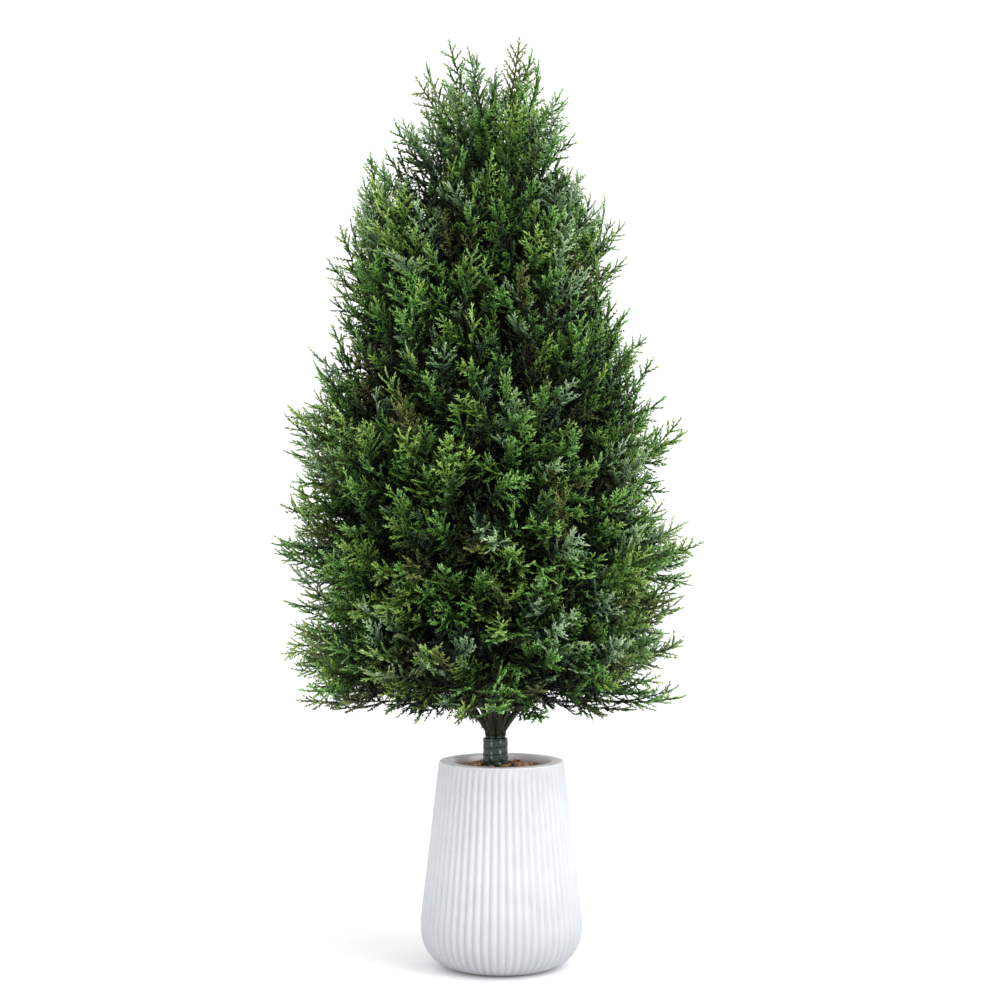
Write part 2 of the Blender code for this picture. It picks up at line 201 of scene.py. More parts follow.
def make_piece(name: str, surface: Surface, material: bpy.types.Material) -> bpy.types.Object:
    """Makes the mesh object of a surface, at the origin, with its shades as a UV map.

    Args:
        name: The piece's name.
        surface: Its shape.
        material: Its finish.

    Returns:
        The object, linked to the scene, with its faces shaded round.
    """
    corners = np.concatenate([surface.quads.ravel(), surface.triangles.ravel()]).astype(np.int32)
    sizes = np.concatenate([np.full(len(surface.quads), 4), np.full(len(surface.triangles), 3)])
    starts = np.concatenate([[0], np.cumsum(sizes)[:-1]]).astype(np.int32)
    mesh = bpy.data.meshes.new(name)
    mesh.vertices.add(len(surface.points))
    mesh.vertices.foreach_set("co", surface.points.astype(np.float32).ravel())
    mesh.loops.add(len(corners))
    mesh.loops.foreach_set("vertex_index", corners)
    mesh.polygons.add(len(sizes))
    mesh.polygons.foreach_set("loop_start", starts)
    mesh.polygons.foreach_set("use_smooth", np.ones(len(sizes), bool))
    mesh.update(calc_edges=True)
    if surface.shades is not None:
        layer = mesh.uv_layers.new(name=SHADE_MAP)
        layer.data.foreach_set("uv", surface.shades[corners].astype(np.float32).ravel())
    mesh.materials.append(material)
    piece = bpy.data.objects.new(name, mesh)
    bpy.context.scene.collection.objects.link(piece)
    LOG.info("%s: %d faces", name, len(sizes))
    return piece


def dress_node(node: str, material: bpy.types.Material) -> None:
    """Gives one of the frame's own nodes its finish."""
    frame["nodes"][node].material_slots[0].material = material


# ------------------------------------------------------------------ finishes


Settings = dict[str | int, object]
Links = dict[str | int, bpy.types.NodeSocket]
Sockets = dict[str, bpy.types.NodeSocket]
TINT: Settings = {"data_type": "RGBA", "blend_type": "MULTIPLY", "Factor": 1.0}

def to_linear(hex_colour: str) -> tuple[float, float, float, float]:
    """Turns an sRGB hex colour into a linear one by the sRGB curve.

    Args:
        hex_colour: A colour such as '#2f5a26'.

    Returns:
        Linear red, green, blue and alpha.
    """
    encoded = np.array([int(hex_colour[i : i + 2], 16) / 255.0 for i in (1, 3, 5)])
    linear = np.where(encoded <= 0.04045, encoded / 12.92, ((encoded + 0.055) / 1.055) ** 2.4)
    return (*linear.tolist(), 1.0)


def add_node(
    tree: bpy.types.NodeTree, kind: str, settings: Settings, links: Links, output: str | int = 0
) -> bpy.types.NodeSocket:
    """Adds a node, sets its properties, socket values and ramp stops, and links its inputs.

    Args:
        tree: The node tree.
        kind: The node's type name, without the ShaderNode prefix.
        settings: Property names, or input names and numbers, with their values; the name
            stops gives a ramp its places and hex colours.
        links: Input names or numbers with the output sockets that feed them.
        output: Name or number of the output that is wanted.

    Returns:
        That output.
    """
    node = tree.nodes.new(f"ShaderNode{kind}")
    for name, value in settings.items():
        if name == "stops":
            while len(node.color_ramp.elements) < len(value):
                node.color_ramp.elements.new(0.5)
            for element, (place, colour) in zip(node.color_ramp.elements, value):
                element.position = place
                element.color = to_linear(colour)
        elif isinstance(name, str) and hasattr(node, name):
            setattr(node, name, value)
        else:
            node.inputs[name].default_value = value
    for name, source in links.items():
        tree.links.new(source, node.inputs[name])
    return node.outputs[output]


def pattern_scale(size_mm: float) -> float:
    """Scale of a noise on Object coordinates whose grains are about size_mm across."""
    return 1.0 / (size_mm * MILLIMETRE)


@dataclass(frozen=True)
class Finish:
    """A surface finish on a Principled shader; a subclass adds its patterns.

    Attributes:
        name: What the real material is.
        roughness: Its mean roughness.
        metallic: 1 for bare metal, else 0.
        ior: Index of refraction.
        specular: Strength of its gloss at a right angle.
    """

    name: str
    roughness: float
    metallic: float = 0.0
    ior: float = 1.5
    specular: float = 0.5

    def build(self) -> bpy.types.Material:
        """Makes the material, with its constants on the shader's own sockets.

        Returns:
            The material.
        """
        material = bpy.data.materials.new(self.name)
        material.use_nodes = True
        tree = material.node_tree
        shader = tree.nodes["Principled BSDF"]
        shader.inputs["Roughness"].default_value = self.roughness
        shader.inputs["Metallic"].default_value = self.metallic
        shader.inputs["IOR"].default_value = self.ior
        shader.inputs["Specular IOR Level"].default_value = self.specular
        place = add_node(tree, "TexCoord", {}, {}, "Object")
        for name, source in self.patterns(tree, place).items():
            tree.links.new(source, shader.inputs[name])
        return material

    def patterns(self, tree: bpy.types.NodeTree, place: bpy.types.NodeSocket) -> Sockets:
        """The finish's colour, roughness and bump patterns, by the shader's input names."""
        raise NotImplementedError


@dataclass(frozen=True)
class Grainy(Finish):
    """A finish of one noise: two colours, a roughness spread and a bump of the same grain.

    Attributes:
        dark: Colour of the grain's hollows.
        light: Colour of its crests.
        grain_mm: Width of a grain.
        stretch: Scale of the grain along each axis: under 1 draws it out.
        bump_mm: Height of the grain.
        bump_strength: Share of that height that shows.
        rough_spread: How far the roughness strays either way.
    """

    dark: str = "#808080"
    light: str = "#a0a0a0"
    grain_mm: float = 1.0
    stretch: tuple[float, float, float] = (1.0, 1.0, 1.0)
    bump_mm: float = 0.05
    bump_strength: float = 0.3
    rough_spread: float = 0.08

    def patterns(self, tree: bpy.types.NodeTree, place: bpy.types.NodeSocket) -> Sockets:
        """Noise on Object coordinates, stretched along an axis where the finish has a grain.

        Args:
            tree: The material's nodes.
            place: Object coordinates.

        Returns:
            Colour, roughness and bump.
        """
        turned = add_node(tree, "Mapping", {"Scale": self.stretch}, {"Vector": place})
        grain = {"Scale": pattern_scale(self.grain_mm), "Detail": 4.0, "Roughness": 0.6}
        noise = add_node(tree, "TexNoise", grain, {"Vector": turned}, "Fac")
        spread = {"To Min": self.roughness - self.rough_spread, "To Max": self.roughness + self.rough_spread}
        relief = {"Strength": self.bump_strength, "Distance": self.bump_mm * MILLIMETRE}
        return {
            "Base Color": add_node(
                tree, "ValToRGB", {"stops": [(0.3, self.dark), (0.7, self.light)]}, {"Fac": noise}
            ),
            "Roughness": add_node(tree, "MapRange", spread, {"Value": noise}),
            "Normal": add_node(tree, "Bump", relief, {"Height": noise}),
        }


@dataclass(frozen=True)
class MattGlaze(Finish):
    """Slip-cast stoneware, sprayed with a matt white glaze.

    The eye sees a soft white, with painted shade that greys it a little at the foot, faint
    clouds, an orange-peel grain, and a lip wiped smooth before firing, which gleams at a low
    angle.  The lip and the inside of the mouth carry painted light: a whiter colour.

    Attributes:
        lip_height: Height from which the glaze is smooth, and from which its colour carries
        painted light.
        foot_height: Height below which painted shade greys the glaze; the painted light
        inside the mouth starts from it.
        mouth_radius: Radius within which the glaze's colour carries painted light, a whiter
        coat inside the mouth.
        lip_roughness: Roughness of the wiped lip.
        cloud_mm: Width of the clouds.
        peel_mm: Width of the orange-peel's dimples.
        peel_depth_mm: Their depth.
        peel_strength: Share of that depth that shows.
        peel_spread: How much duller the glaze is on the dimples' edges.
    """

    lip_height: float = 0.2
    foot_height: float = 0.1
    mouth_radius: float = 0.05
    lip_roughness: float = 0.35
    cloud_mm: float = 20.0
    peel_mm: float = 0.6
    peel_depth_mm: float = 0.05
    peel_strength: float = 0.1
    peel_spread: float = 0.08

    def patterns(self, tree: bpy.types.NodeTree, place: bpy.types.NodeSocket) -> Sockets:
        """Clouds by a noise, painted shade at the foot and painted light on the lip by the height,
        and painted light in the mouth by the radius.

        Args:
            tree: The material's nodes.
            place: Object coordinates.

        Returns:
            Colour, roughness and bump.
        """
        height = add_node(tree, "SeparateXYZ", {}, {"Vector": place}, "Z")
        level = add_node(tree, "VectorMath", {"operation": "MULTIPLY", 1: (1.0, 1.0, 0.0)}, {0: place})
        radius = add_node(tree, "VectorMath", {"operation": "LENGTH"}, {0: level}, "Value")
        clouds = {"Scale": pattern_scale(self.cloud_mm), "Detail": 3.0}
        cloud = add_node(tree, "TexNoise", clouds, {"Vector": place}, "Fac")
        dimples = {"Scale": pattern_scale(self.peel_mm), "Detail": 2.0}
        peel = add_node(tree, "TexNoise", dimples, {"Vector": place}, "Fac")
        climb = add_node(tree, "MapRange", {"From Max": self.foot_height}, {"Value": height})
        thick = add_node(tree, "ValToRGB", {"stops": [(0.25, "#c0c2c5"), (0.75, "#c8cacd")]}, {"Fac": cloud})
        # painted shade: the glaze's colour greys towards the foot, below foot_height
        painted_foot_shade = [(0.0, "#e0e2e5"), (0.5, "#f2f3f5"), (1.0, "#ffffff")]
        thin = add_node(tree, "ValToRGB", {"stops": painted_foot_shade}, {"Fac": climb})
        glaze = add_node(tree, "Mix", TINT, {6: thick, 7: thin}, 2)
        # painted light: a whiter colour on the lip and inside the mouth, which the crown above leaves in
        # shade
        mouth = {"From Min": self.mouth_radius, "From Max": self.mouth_radius - MILLIMETRE}
        within = add_node(tree, "MapRange", mouth, {"Value": radius})
        hollow = {"From Min": self.foot_height, "From Max": self.lip_height}
        high = add_node(tree, "MapRange", hollow, {"Value": height})
        inside = add_node(tree, "Math", {"operation": "MULTIPLY"}, {0: within, 1: high})
        edge = {"From Min": self.lip_height - MILLIMETRE, "From Max": self.lip_height}
        lip = add_node(tree, "MapRange", edge, {"Value": height})
        painted_light_mask = add_node(tree, "Math", {"operation": "MAXIMUM"}, {0: inside, 1: lip})
        white = {"data_type": "RGBA", 7: to_linear("#fafafd")}
        gleam = edge | {"To Min": self.roughness, "To Max": self.lip_roughness}
        wiped = add_node(tree, "MapRange", gleam, {"Value": height})
        spread = {"operation": "MULTIPLY_ADD", 1: self.peel_spread}
        relief = {"Strength": self.peel_strength, "Distance": self.peel_depth_mm * MILLIMETRE}
        return {
            "Base Color": add_node(tree, "Mix", white, {"Factor": painted_light_mask, 6: glaze}, 2),
            "Roughness": add_node(tree, "Math", spread, {0: peel, 2: wiped}),
            "Normal": add_node(tree, "Bump", relief, {"Height": peel}),
        }


@dataclass(frozen=True)
class TumbledStone(Finish):
    """River gravel, tumbled smooth: warm browns, tans, oranges and a few pale greys.

    Attributes:
        stones: The stones' colours, by their own value.
        mottle_mm: Width of the darker veins on each.
        pit_mm: Depth of the pits along the veins.
        pit_strength: Share of that depth that shows.
    """

    stones: tuple[tuple[float, str], ...] = (
        (0.00, "#8a5c38"),
        (0.22, "#cf8544"),
        (0.42, "#e0a868"),
        (0.60, "#ecd0a8"),
        (0.78, "#b07a52"),
        (0.92, "#d8ccbc"),
        (1.00, "#93694c"),
    )
    mottle_mm: float = 2.0
    pit_mm: float = 0.2
    pit_strength: float = 0.4

    def patterns(self, tree: bpy.types.NodeTree, place: bpy.types.NodeSocket) -> Sockets:
        """The stone's own value picks its colour, and a mottle darkens parts of it.

        Args:
            tree: The material's nodes.
            place: Object coordinates.

        Returns:
            Colour and bump.
        """
        own = add_node(tree, "UVMap", {"uv_map": SHADE_MAP}, {})
        value = add_node(tree, "SeparateXYZ", {}, {"Vector": own}, "X")
        stone = add_node(tree, "ValToRGB", {"stops": self.stones}, {"Fac": value})
        veins = {"Scale": pattern_scale(self.mottle_mm), "Detail": 5.0}
        mottle = add_node(tree, "TexNoise", veins, {"Vector": place}, "Fac")
        shade = add_node(tree, "ValToRGB", {"stops": [(0.3, "#9a8f88"), (0.65, "#ffffff")]}, {"Fac": mottle})
        relief = {"Strength": self.pit_strength, "Distance": self.pit_mm * MILLIMETRE}
        return {
            "Base Color": add_node(tree, "Mix", TINT, {6: stone, 7: shade}, 2),
            "Normal": add_node(tree, "Bump", relief, {"Height": mottle}),
        }


@dataclass(frozen=True)
class MouldedCedar(Finish):
    """Injection-moulded polyethylene foliage: four dyes, each paler towards the new growth.

    The piece's shades give the dye across and the growth, from the spray's foot to its
    tips, up: the eye sees dark hearts, mid-green fronds and yellow or blue-green tips.  The
    near-black feet are painted shade; the pale tips are partly new growth and partly painted
    light.

    Attributes:
        dyes: For each dye, the value from which it is used and its colours over the growth.
        dye_blend: Half the width of the change from one dye to the next.
        cloud_mm: Width of the clouds of light and dark over the crown.
        dullest: Roughness in the dullest clouds.
        shiniest: Roughness in the shiniest.
    """

    # each ramp runs from painted shade, near black at the sprays' feet, to a pale tip that is partly new
    # growth and partly painted light
    dyes: tuple[tuple[float, tuple[tuple[float, str], ...]], ...] = (
        (0.00, ((0.0, "#0b1304"), (0.32, "#1c340c"), (0.66, "#598c32"), (1.0, "#a2d276"))),
        (0.48, ((0.0, "#0e1504"), (0.32, "#294110"), (0.66, "#7ba43c"), (1.0, "#c2e480"))),
        (0.74, ((0.0, "#0b140b"), (0.32, "#263f2a"), (0.66, "#7ea375"), (1.0, "#cce3b8"))),
        (0.90, ((0.0, "#131005"), (0.32, "#292c12"), (0.66, "#626e32"), (1.0, "#98a860"))),
    )
    dye_blend: float = 0.02
    cloud_mm: float = 25.0
    shiniest: float = 0.42
    dullest: float = 0.62

    def patterns(self, tree: bpy.types.NodeTree, place: bpy.types.NodeSocket) -> Sockets:
        """Four ramps over the growth, chosen by the dye, under a cloud of light and dark.

        Args:
            tree: The material's nodes.
            place: Object coordinates.

        Returns:
            Colour and roughness.
        """
        own = add_node(tree, "UVMap", {"uv_map": SHADE_MAP}, {})
        dye = add_node(tree, "SeparateXYZ", {}, {"Vector": own}, "X")
        growth = add_node(tree, "SeparateXYZ", {}, {"Vector": own}, "Y")
        ramps = [add_node(tree, "ValToRGB", {"stops": stops}, {"Fac": growth}) for _, stops in self.dyes]
        colour = ramps[0]
        for (start, _), ramp in zip(self.dyes[1:], ramps[1:]):
            change = {"From Min": start - self.dye_blend, "From Max": start + self.dye_blend}
            share = add_node(tree, "MapRange", change, {"Value": dye})
            colour = add_node(tree, "Mix", {"data_type": "RGBA"}, {"Factor": share, 6: colour, 7: ramp}, 2)
        clouds = {"Scale": pattern_scale(self.cloud_mm), "Detail": 2.0}
        cloud = add_node(tree, "TexNoise", clouds, {"Vector": place}, "Fac")
        light = add_node(tree, "ValToRGB", {"stops": [(0.3, "#c4c4c4"), (0.7, "#ffffff")]}, {"Fac": cloud})
        gloss = {"To Min": self.shiniest, "To Max": self.dullest}
        return {
            "Base Color": add_node(tree, "Mix", TINT, {6: colour, 7: light}, 2),
            "Roughness": add_node(tree, "MapRange", gloss, {"Value": cloud}),
        }


STONE = TumbledStone("tumbled_river_gravel", roughness=0.5)
CEDAR = MouldedCedar("moulded_polyethylene_cedar", roughness=0.5, specular=0.3)
# crushed stone and glue between the pebbles: a dark, coarse, dull bed
GRIT = Grainy(
    "glued_dark_grit",
    roughness=0.8,
    dark="#2a1a10",
    light="#5b3b24",
    grain_mm=2.5,
    bump_mm=0.8,
    bump_strength=0.8,
)
# stretched crepe tape: dark bottle green, with creases along the trunk and a waxy gloss
TAPE = Grainy(
    "stretched_crepe_tape",
    roughness=0.12,
    dark="#0f1b13",
    light="#22382a",
    grain_mm=4.5,
    stretch=(1.0, 1.0, 0.15),
    bump_mm=1.0,
    bump_strength=0.22,
    rough_spread=0.03,
)
# steel wire in a moulded polyethylene sheath: dull brown-green with drawn-out ridges
SHEATH = Grainy(
    "moulded_stem_sheath",
    roughness=0.40,
    dark="#161a10",
    light="#2e3520",
    grain_mm=1.6,
    stretch=(1.0, 1.0, 0.18),
    bump_mm=0.4,
    bump_strength=0.5,
)
# poured cement: pale grey and sandy
CEMENT = Grainy("poured_cement", roughness=0.9, dark="#8d8982", light="#aba79f", grain_mm=3.0, bump_mm=0.4)
# dry phenolic foam: dull green with fine pores
FOAM = Grainy("dry_floral_foam", roughness=0.92, dark="#3f5a36", light="#587a4b", grain_mm=0.8, bump_mm=0.3)
# steel tube dipped in dark paint: smooth and faintly streaked
STEEL = Grainy("painted_steel_tube", roughness=0.42, dark="#22261f", light="#2f352b", grain_mm=1.2)
# annealed binding wire: soft grey metal without a polish
TIE = Grainy("annealed_tie_wire", roughness=0.4, metallic=1.0, dark="#5a5a58", light="#74726e", grain_mm=0.8)
# seamless paper: plain matt white
FLOOR = Grainy(
    "white_paper_floor",
    roughness=0.9,
    dark="#fafafa",
    light="#fefefe",
    grain_mm=40.0,
    bump_mm=0.0,
    bump_strength=0.0,
)


# ------------------------------------------------------------------ planter and gravel


@dataclass
class Planter:
    """The ribbed pot: rounded ridges between narrow grooves, a smooth lip and a hollow.

    Attributes:
        ribs: Ridges round the pot.
        groove: Depth of the grooves between them.
        belly: Height of the widest place.
        foot_radius: Radius of the flat base.
        foot_power: Fullness of the curve from the belly to the base: 2 is a quarter ellipse.
        lip_width: Width of the flat rim.
        lip_depth: Height of the thick rim inside.
        lip_round: Radius of the rim's edges.
        wall: Thickness of the wall below the rim.
        floor: Thickness of the floor.
        first_ring: Radius of the first ring round the middle of the base and of the floor.
        foot_fade: Height over which the grooves run out at the base.
        lip_gap: Smooth band below the rim.
        lip_fade: Height over which the grooves run out below that band.
        hollow_drops: Depths of rows inside, below the rim.
        hollow_heights: Heights of the rows inside, below the belly.
        foot_rows: Rows from the base up to the belly.
        side_rows: Rows from there up to the rim.
        round_rows: Rows over each edge of the rim.
        columns_per_rib: Points across a rib.
    """

    ribs: int = 60
    groove: float = 0.0025
    belly: float = 0.045
    foot_radius: float = 0.0360
    foot_power: float = 2.5
    lip_width: float = 0.0130
    lip_depth: float = 0.0080
    lip_round: float = 0.0020
    wall: float = 0.0070
    floor: float = 0.0100
    first_ring: float = 0.02
    foot_fade: float = 0.006
    lip_gap: float = 0.0012
    lip_fade: float = 0.003
    hollow_drops: tuple[float, ...] = (0.012, 0.0155, 0.05, 0.10)
    hollow_heights: tuple[float, ...] = (0.030, 0.020, 0.014)
    foot_rows: int = 22
    side_rows: int = 16
    round_rows: int = 5
    columns_per_rib: int = 8

    def __post_init__(self) -> None:
        """Reads the pot's height and width from the frame."""
        low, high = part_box("planter")
        self.height = high.z
        self.belly_radius = (high.x - low.x) / 2.0
        shell = frame["nodes"]["planter"].data.vertices
        rim = [vertex.co for vertex in shell if vertex.co.z > self.height - 0.01 * MILLIMETRE]
        self.rim_radius = max(math.hypot(place.x, place.y) for place in rim)

    def outer_radius(self, height: np.ndarray) -> np.ndarray:
        """Straight taper from the belly up to the rim; below the belly a squared quarter ellipse.

        Below the belly the radius is foot + (belly - foot) * (1 - drop ** n) ** (1 / n),
        where drop is the share of the way down from the belly to the base.

        Args:
            height: Heights above the base.

        Returns:
            The radius at each.
        """
        share = np.clip((height - self.belly) / (self.height - self.belly), 0.0, 1.0)
        taper = self.belly_radius + (self.rim_radius - self.belly_radius) * share
        drop = np.clip(1.0 - height / self.belly, 0.0, 1.0)
        fullness = (1.0 - drop**self.foot_power) ** (1.0 / self.foot_power)
        foot = self.foot_radius + (self.belly_radius - self.foot_radius) * fullness
        return np.where(height >= self.belly, taper, foot)

    def outline(self) -> tuple[np.ndarray, np.ndarray, np.ndarray]:
        """Rows of the pot, from the base's middle up the outside and down to the floor's middle.

        The foot's rows stand at belly * sin(angle) ** 2, closer together at both ends, and
        the rim's two edges are quarter circles.

        Returns:
            Radius, height and share of the groove of each row.
        """
        climb = np.sin(np.linspace(0.0, 0.5 * math.pi, self.foot_rows)) ** 2 * self.belly
        side = np.linspace(self.belly, self.height - self.lip_round, self.side_rows)[1:]
        outer_heights = np.concatenate([climb, side])
        outer = self.outer_radius(outer_heights)
        turn = np.linspace(0.0, 0.5 * math.pi, self.round_rows)[1:]
        lip_inner = self.rim_radius - self.lip_width
        outer_round_r = self.rim_radius - self.lip_round * (1.0 - np.cos(turn))
        outer_round_z = self.height - self.lip_round * (1.0 - np.sin(turn))
        inner_round_r = lip_inner + self.lip_round * (1.0 - np.sin(turn))
        inner_round_z = self.height - self.lip_round * (1.0 - np.cos(turn))
        drops = np.array([self.lip_depth, *self.hollow_drops])
        inner_z = np.concatenate([self.height - drops, [self.belly, *self.hollow_heights, self.floor]])
        plain = self.outer_radius(inner_z) - self.wall
        inner_r = np.minimum(plain, lip_inner + np.maximum(self.height - self.lip_depth - inner_z, 0.0))
        ring = [self.first_ring]
        radius = np.concatenate([ring, outer, outer_round_r, inner_round_r, inner_r, ring])
        height = np.concatenate([[0.0], outer_heights, outer_round_z, inner_round_z, inner_z, [self.floor]])
        above_foot = np.clip(outer_heights / self.foot_fade, 0.0, 1.0)
        below_lip = np.clip((self.height - self.lip_gap - outer_heights) / self.lip_fade, 0.0, 1.0)
        fade = above_foot * below_lip
        rest = len(radius) - 1 - len(fade)
        return radius, height, np.concatenate([[0.0], fade, np.zeros(rest)])

    def surface(self) -> Surface:
        """Turns the outline round the axis.

        A groove takes depth * (1 - |cos(n a / 2)|) off the radius, so the ridges are round
        and meet in sharp valleys.

        Returns:
            The closed pot.
        """
        radius, height, share = self.outline()
        columns = self.ribs * self.columns_per_rib
        angle = turns(columns)
        groove = 1.0 - np.abs(np.cos(0.5 * self.ribs * angle))
        reach = radius[:, None] - self.groove * share[:, None] * groove[None, :]
        points = np.stack(
            [reach * np.cos(angle), reach * np.sin(angle), np.broadcast_to(height[:, None], reach.shape)], -1
        )
        poles = np.array([[0.0, 0.0, 0.0], [0.0, 0.0, self.floor]])
        return Surface(
            points=np.concatenate([points.reshape(-1, 3), poles]),
            quads=grid_quads(len(radius), columns),
            triangles=cap_fans(len(radius), columns),
        )

    def build(self) -> None:
        """Makes the pot and gives it its glaze."""
        glaze = MattGlaze(
            "matt_glazed_stoneware",
            roughness=0.5,
            # the lip and the mouth within these bounds get the glaze's painted light
            lip_height=self.height - 0.5 * MILLIMETRE,
            mouth_radius=self.rim_radius - self.lip_round + MILLIMETRE,
        )
        pot = make_piece("ribbed_planter", self.surface(), glaze.build())
        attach(pot, "root")
        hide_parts("planter")


@dataclass
class Gravel:
    """Loose-looking stones glued on the bed, heaped against the trunk.

    Attributes:
        stones: How many stones are strewn.
        half_length: Half the length of the smallest and of the largest stone.
        width: Least and most width, as a share of the length.
        thickness: The same for the thickness.
        trunk_gap: Gap between the trunk and the nearest stone's middle.
        wall_gap: Gap between the furthest stone's middle and the bed's edge.
        heap: How far the stones' middles stand over the bed next to the trunk.
        sink: How far each one strays down and up from that.
        tilt: Most tilt either way, in radians.
        dent: Depth of the dents, as a share of the radius.
        seed: Seed of the stones' places and shapes.
        rows: Rings of points on a stone.
        columns: Points in a ring.
    """

    stones: int = 560
    half_length: tuple[float, float] = (0.0026, 0.0046)
    width: tuple[float, float] = (0.65, 0.95)
    thickness: tuple[float, float] = (0.5, 0.75)
    trunk_gap: float = 0.001
    wall_gap: float = 0.0035
    heap: float = 0.0015
    sink: tuple[float, float] = (-0.0022, 0.0008)
    tilt: float = 0.5
    dent: float = 0.13
    seed: int = 41
    rows: int = 4
    columns: int = 7

    def __post_init__(self) -> None:
        """Reads the bed's size from the frame."""
        low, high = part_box("gravel_bed")
        self.edge = (high.x - low.x) / 2.0
        trunk_low, trunk_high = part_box("trunk_tape")
        self.trunk_x = (trunk_low.x + trunk_high.x) / 2.0
        self.trunk_radius = (trunk_high.x - trunk_low.x) / 2.0
        self.crown = high.z
        bed = np.array([vertex.co for vertex in frame["nodes"]["gravel_bed"].data.vertices])
        outermost = np.hypot(bed[:, 0], bed[:, 1]) > self.edge - MILLIMETRE
        self.rim = float(bed[outermost, 2].max())

    def ball(self) -> np.ndarray:
        """Points of a ball of radius 1: rings from low to high, then its two poles.

        Returns:
            (points, 3) places.
        """
        up = np.linspace(0.0, math.pi, self.rows + 2)[1:-1]
        angle = turns(self.columns)
        rings = np.stack(
            [
                np.sin(up)[:, None] * np.cos(angle),
                np.sin(up)[:, None] * np.sin(angle),
                np.broadcast_to(-np.cos(up)[:, None], (self.rows, self.columns)),
            ],
            -1,
        ).reshape(-1, 3)
        return np.concatenate([rings, [[0.0, 0.0, -1.0], [0.0, 0.0, 1.0]]])

    def surface(self) -> Surface:
        """Squashed, dented balls laid on the bed, which falls off as share ** 3 to its edge.

        A stone's point is its middle plus a turned ellipsoid, whose radius is dented by
        1 + dent * sin(3 x + phase) * cos(2.5 y - phase) of the ball's own x and y.

        Returns:
            All the stones, each with a value of its own for its colour.
        """
        rng = np.random.default_rng(self.seed)
        count = self.stones
        share = np.sqrt(rng.random(count))
        angle = rng.random(count) * 2.0 * math.pi
        inner = self.trunk_radius + self.trunk_gap
        outer = self.edge - self.wall_gap
        radius = inner + (outer - inner) * share
        bed = self.crown + self.heap + (self.rim - self.crown) * share**3
        middle = np.stack(
            [
                self.trunk_x * (1.0 - share) + radius * np.cos(angle),
                radius * np.sin(angle),
                bed + rng.uniform(*self.sink, count),
            ],
            -1,
        )
        length = rng.uniform(*self.half_length, count)
        width = length * rng.uniform(*self.width, count)
        axes = np.stack([length, width, length * rng.uniform(*self.thickness, count)], -1)
        turn = rng.random(count) * math.pi
        tilt = rng.uniform(-self.tilt, self.tilt, count)
        ball = self.ball()
        phase = rng.random((count, 1)) * 6.0
        wave = np.sin(3.0 * ball[None, :, 0] + phase) * np.cos(2.5 * ball[None, :, 1] - phase)
        dent = 1.0 + self.dent * wave
        local = ball[None] * dent[..., None] * axes[:, None]
        tilted_x = local[..., 0] * np.cos(tilt)[:, None] - local[..., 2] * np.sin(tilt)[:, None]
        tilted_z = local[..., 0] * np.sin(tilt)[:, None] + local[..., 2] * np.cos(tilt)[:, None]
        cosine, sine = np.cos(turn)[:, None], np.sin(turn)[:, None]
        points = np.stack(
            [tilted_x * cosine - local[..., 1] * sine, tilted_x * sine + local[..., 1] * cosine, tilted_z], -1
        )
        points = (points + middle[:, None]).reshape(-1, 3)
        step = (np.arange(count) * len(ball))[:, None, None]
        quads = (grid_quads(self.rows, self.columns)[None] + step).reshape(-1, 4)
        triangles = (cap_fans(self.rows, self.columns)[None] + step).reshape(-1, 3)
        shades = np.repeat(np.stack([rng.random(count), rng.random(count)], -1), len(ball), axis=0)
        return Surface(points, quads, triangles, shades)

    def build(self) -> None:
        """Strews the stones and darkens the bed below them."""
        stones = make_piece("gravel_stones", self.surface(), STONE.build())
        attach(stones, "root")
        dress_node("gravel_bed", GRIT.build())


# ------------------------------------------------------------------ trunk and stems


@dataclass
class TrunkTape:
    """Stretch tape wound in a rising helix round the bundle, which shows through as ridges.

    Attributes:
        pitch: Rise of the tape for each turn.
        step: How far each turn's edge stands out over the one below.
        edge: Share of a turn over which its edge rises.
        ridges: Stems that show through.
        ridge: How far they stand out.
        sunk: How far the valleys between them lie inside the frame's tube.
        crease: Height of the tape's creases.
        crease_turns: Creases round the bundle.
        crease_rise: Turn of a crease for each metre up, in radians.
        rows: Rings of points up the tape.
        columns: Points in a ring.
    """

    pitch: float = 0.0068
    step: float = 0.0005
    edge: float = 0.06
    ridges: int = 8
    ridge: float = 0.0004
    sunk: float = 0.0012
    crease: float = 0.0001
    crease_turns: float = 7.0
    crease_rise: float = 500.0
    rows: int = 130
    columns: int = 96

    def surface(self) -> Surface:
        """A tube whose radius is the bundle's lobes plus the tape's sawtooth.

        The sawtooth is the fraction of (height / pitch - angle / turn): it jumps at each
        edge of the tape and falls back slowly over its width.  A lobe is |cos| ** 0.7 of
        half the ridges' angle, and a crease is a sine of the angle and the height.

        Returns:
            The closed tube.
        """
        low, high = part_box("trunk_tape")
        centre_x = (low.x + high.x) / 2.0
        outer = (high.x - low.x) / 2.0
        height = np.linspace(low.z, high.z, self.rows)
        angle = turns(self.columns)
        lobes = np.abs(np.cos(0.5 * self.ridges * (angle + math.pi / self.ridges)))[None, :] ** 0.7
        turn = np.mod(height[:, None] / self.pitch - angle[None, :] / (2.0 * math.pi), 1.0)
        lap = np.clip(turn / self.edge, 0.0, 1.0) * (1.0 - turn)
        wave = np.sin(self.crease_turns * angle[None, :] + self.crease_rise * height[:, None])
        reach = outer - self.sunk + self.ridge * lobes + self.step * lap + self.crease * wave
        path = np.stack([np.full(self.rows, centre_x), np.zeros(self.rows), height], -1)
        return swept_tube(path, reach, self.columns, np.array([0.0, 1.0, 0.0]))

    def build(self) -> None:
        """Winds the tape and finishes the hidden pole and tie wires."""
        tape = make_piece("wound_tape", self.surface(), TAPE.build())
        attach(tape, "root")
        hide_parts("trunk_tape")
        for node, finish in (
            ("trunk_pole", STEEL),
            ("lower_tie_wire", TIE),
            ("upper_tie_wire", TIE),
            ("cement_weight", CEMENT),
            ("foam_filler", FOAM),
        ):
            dress_node(node, finish.build())


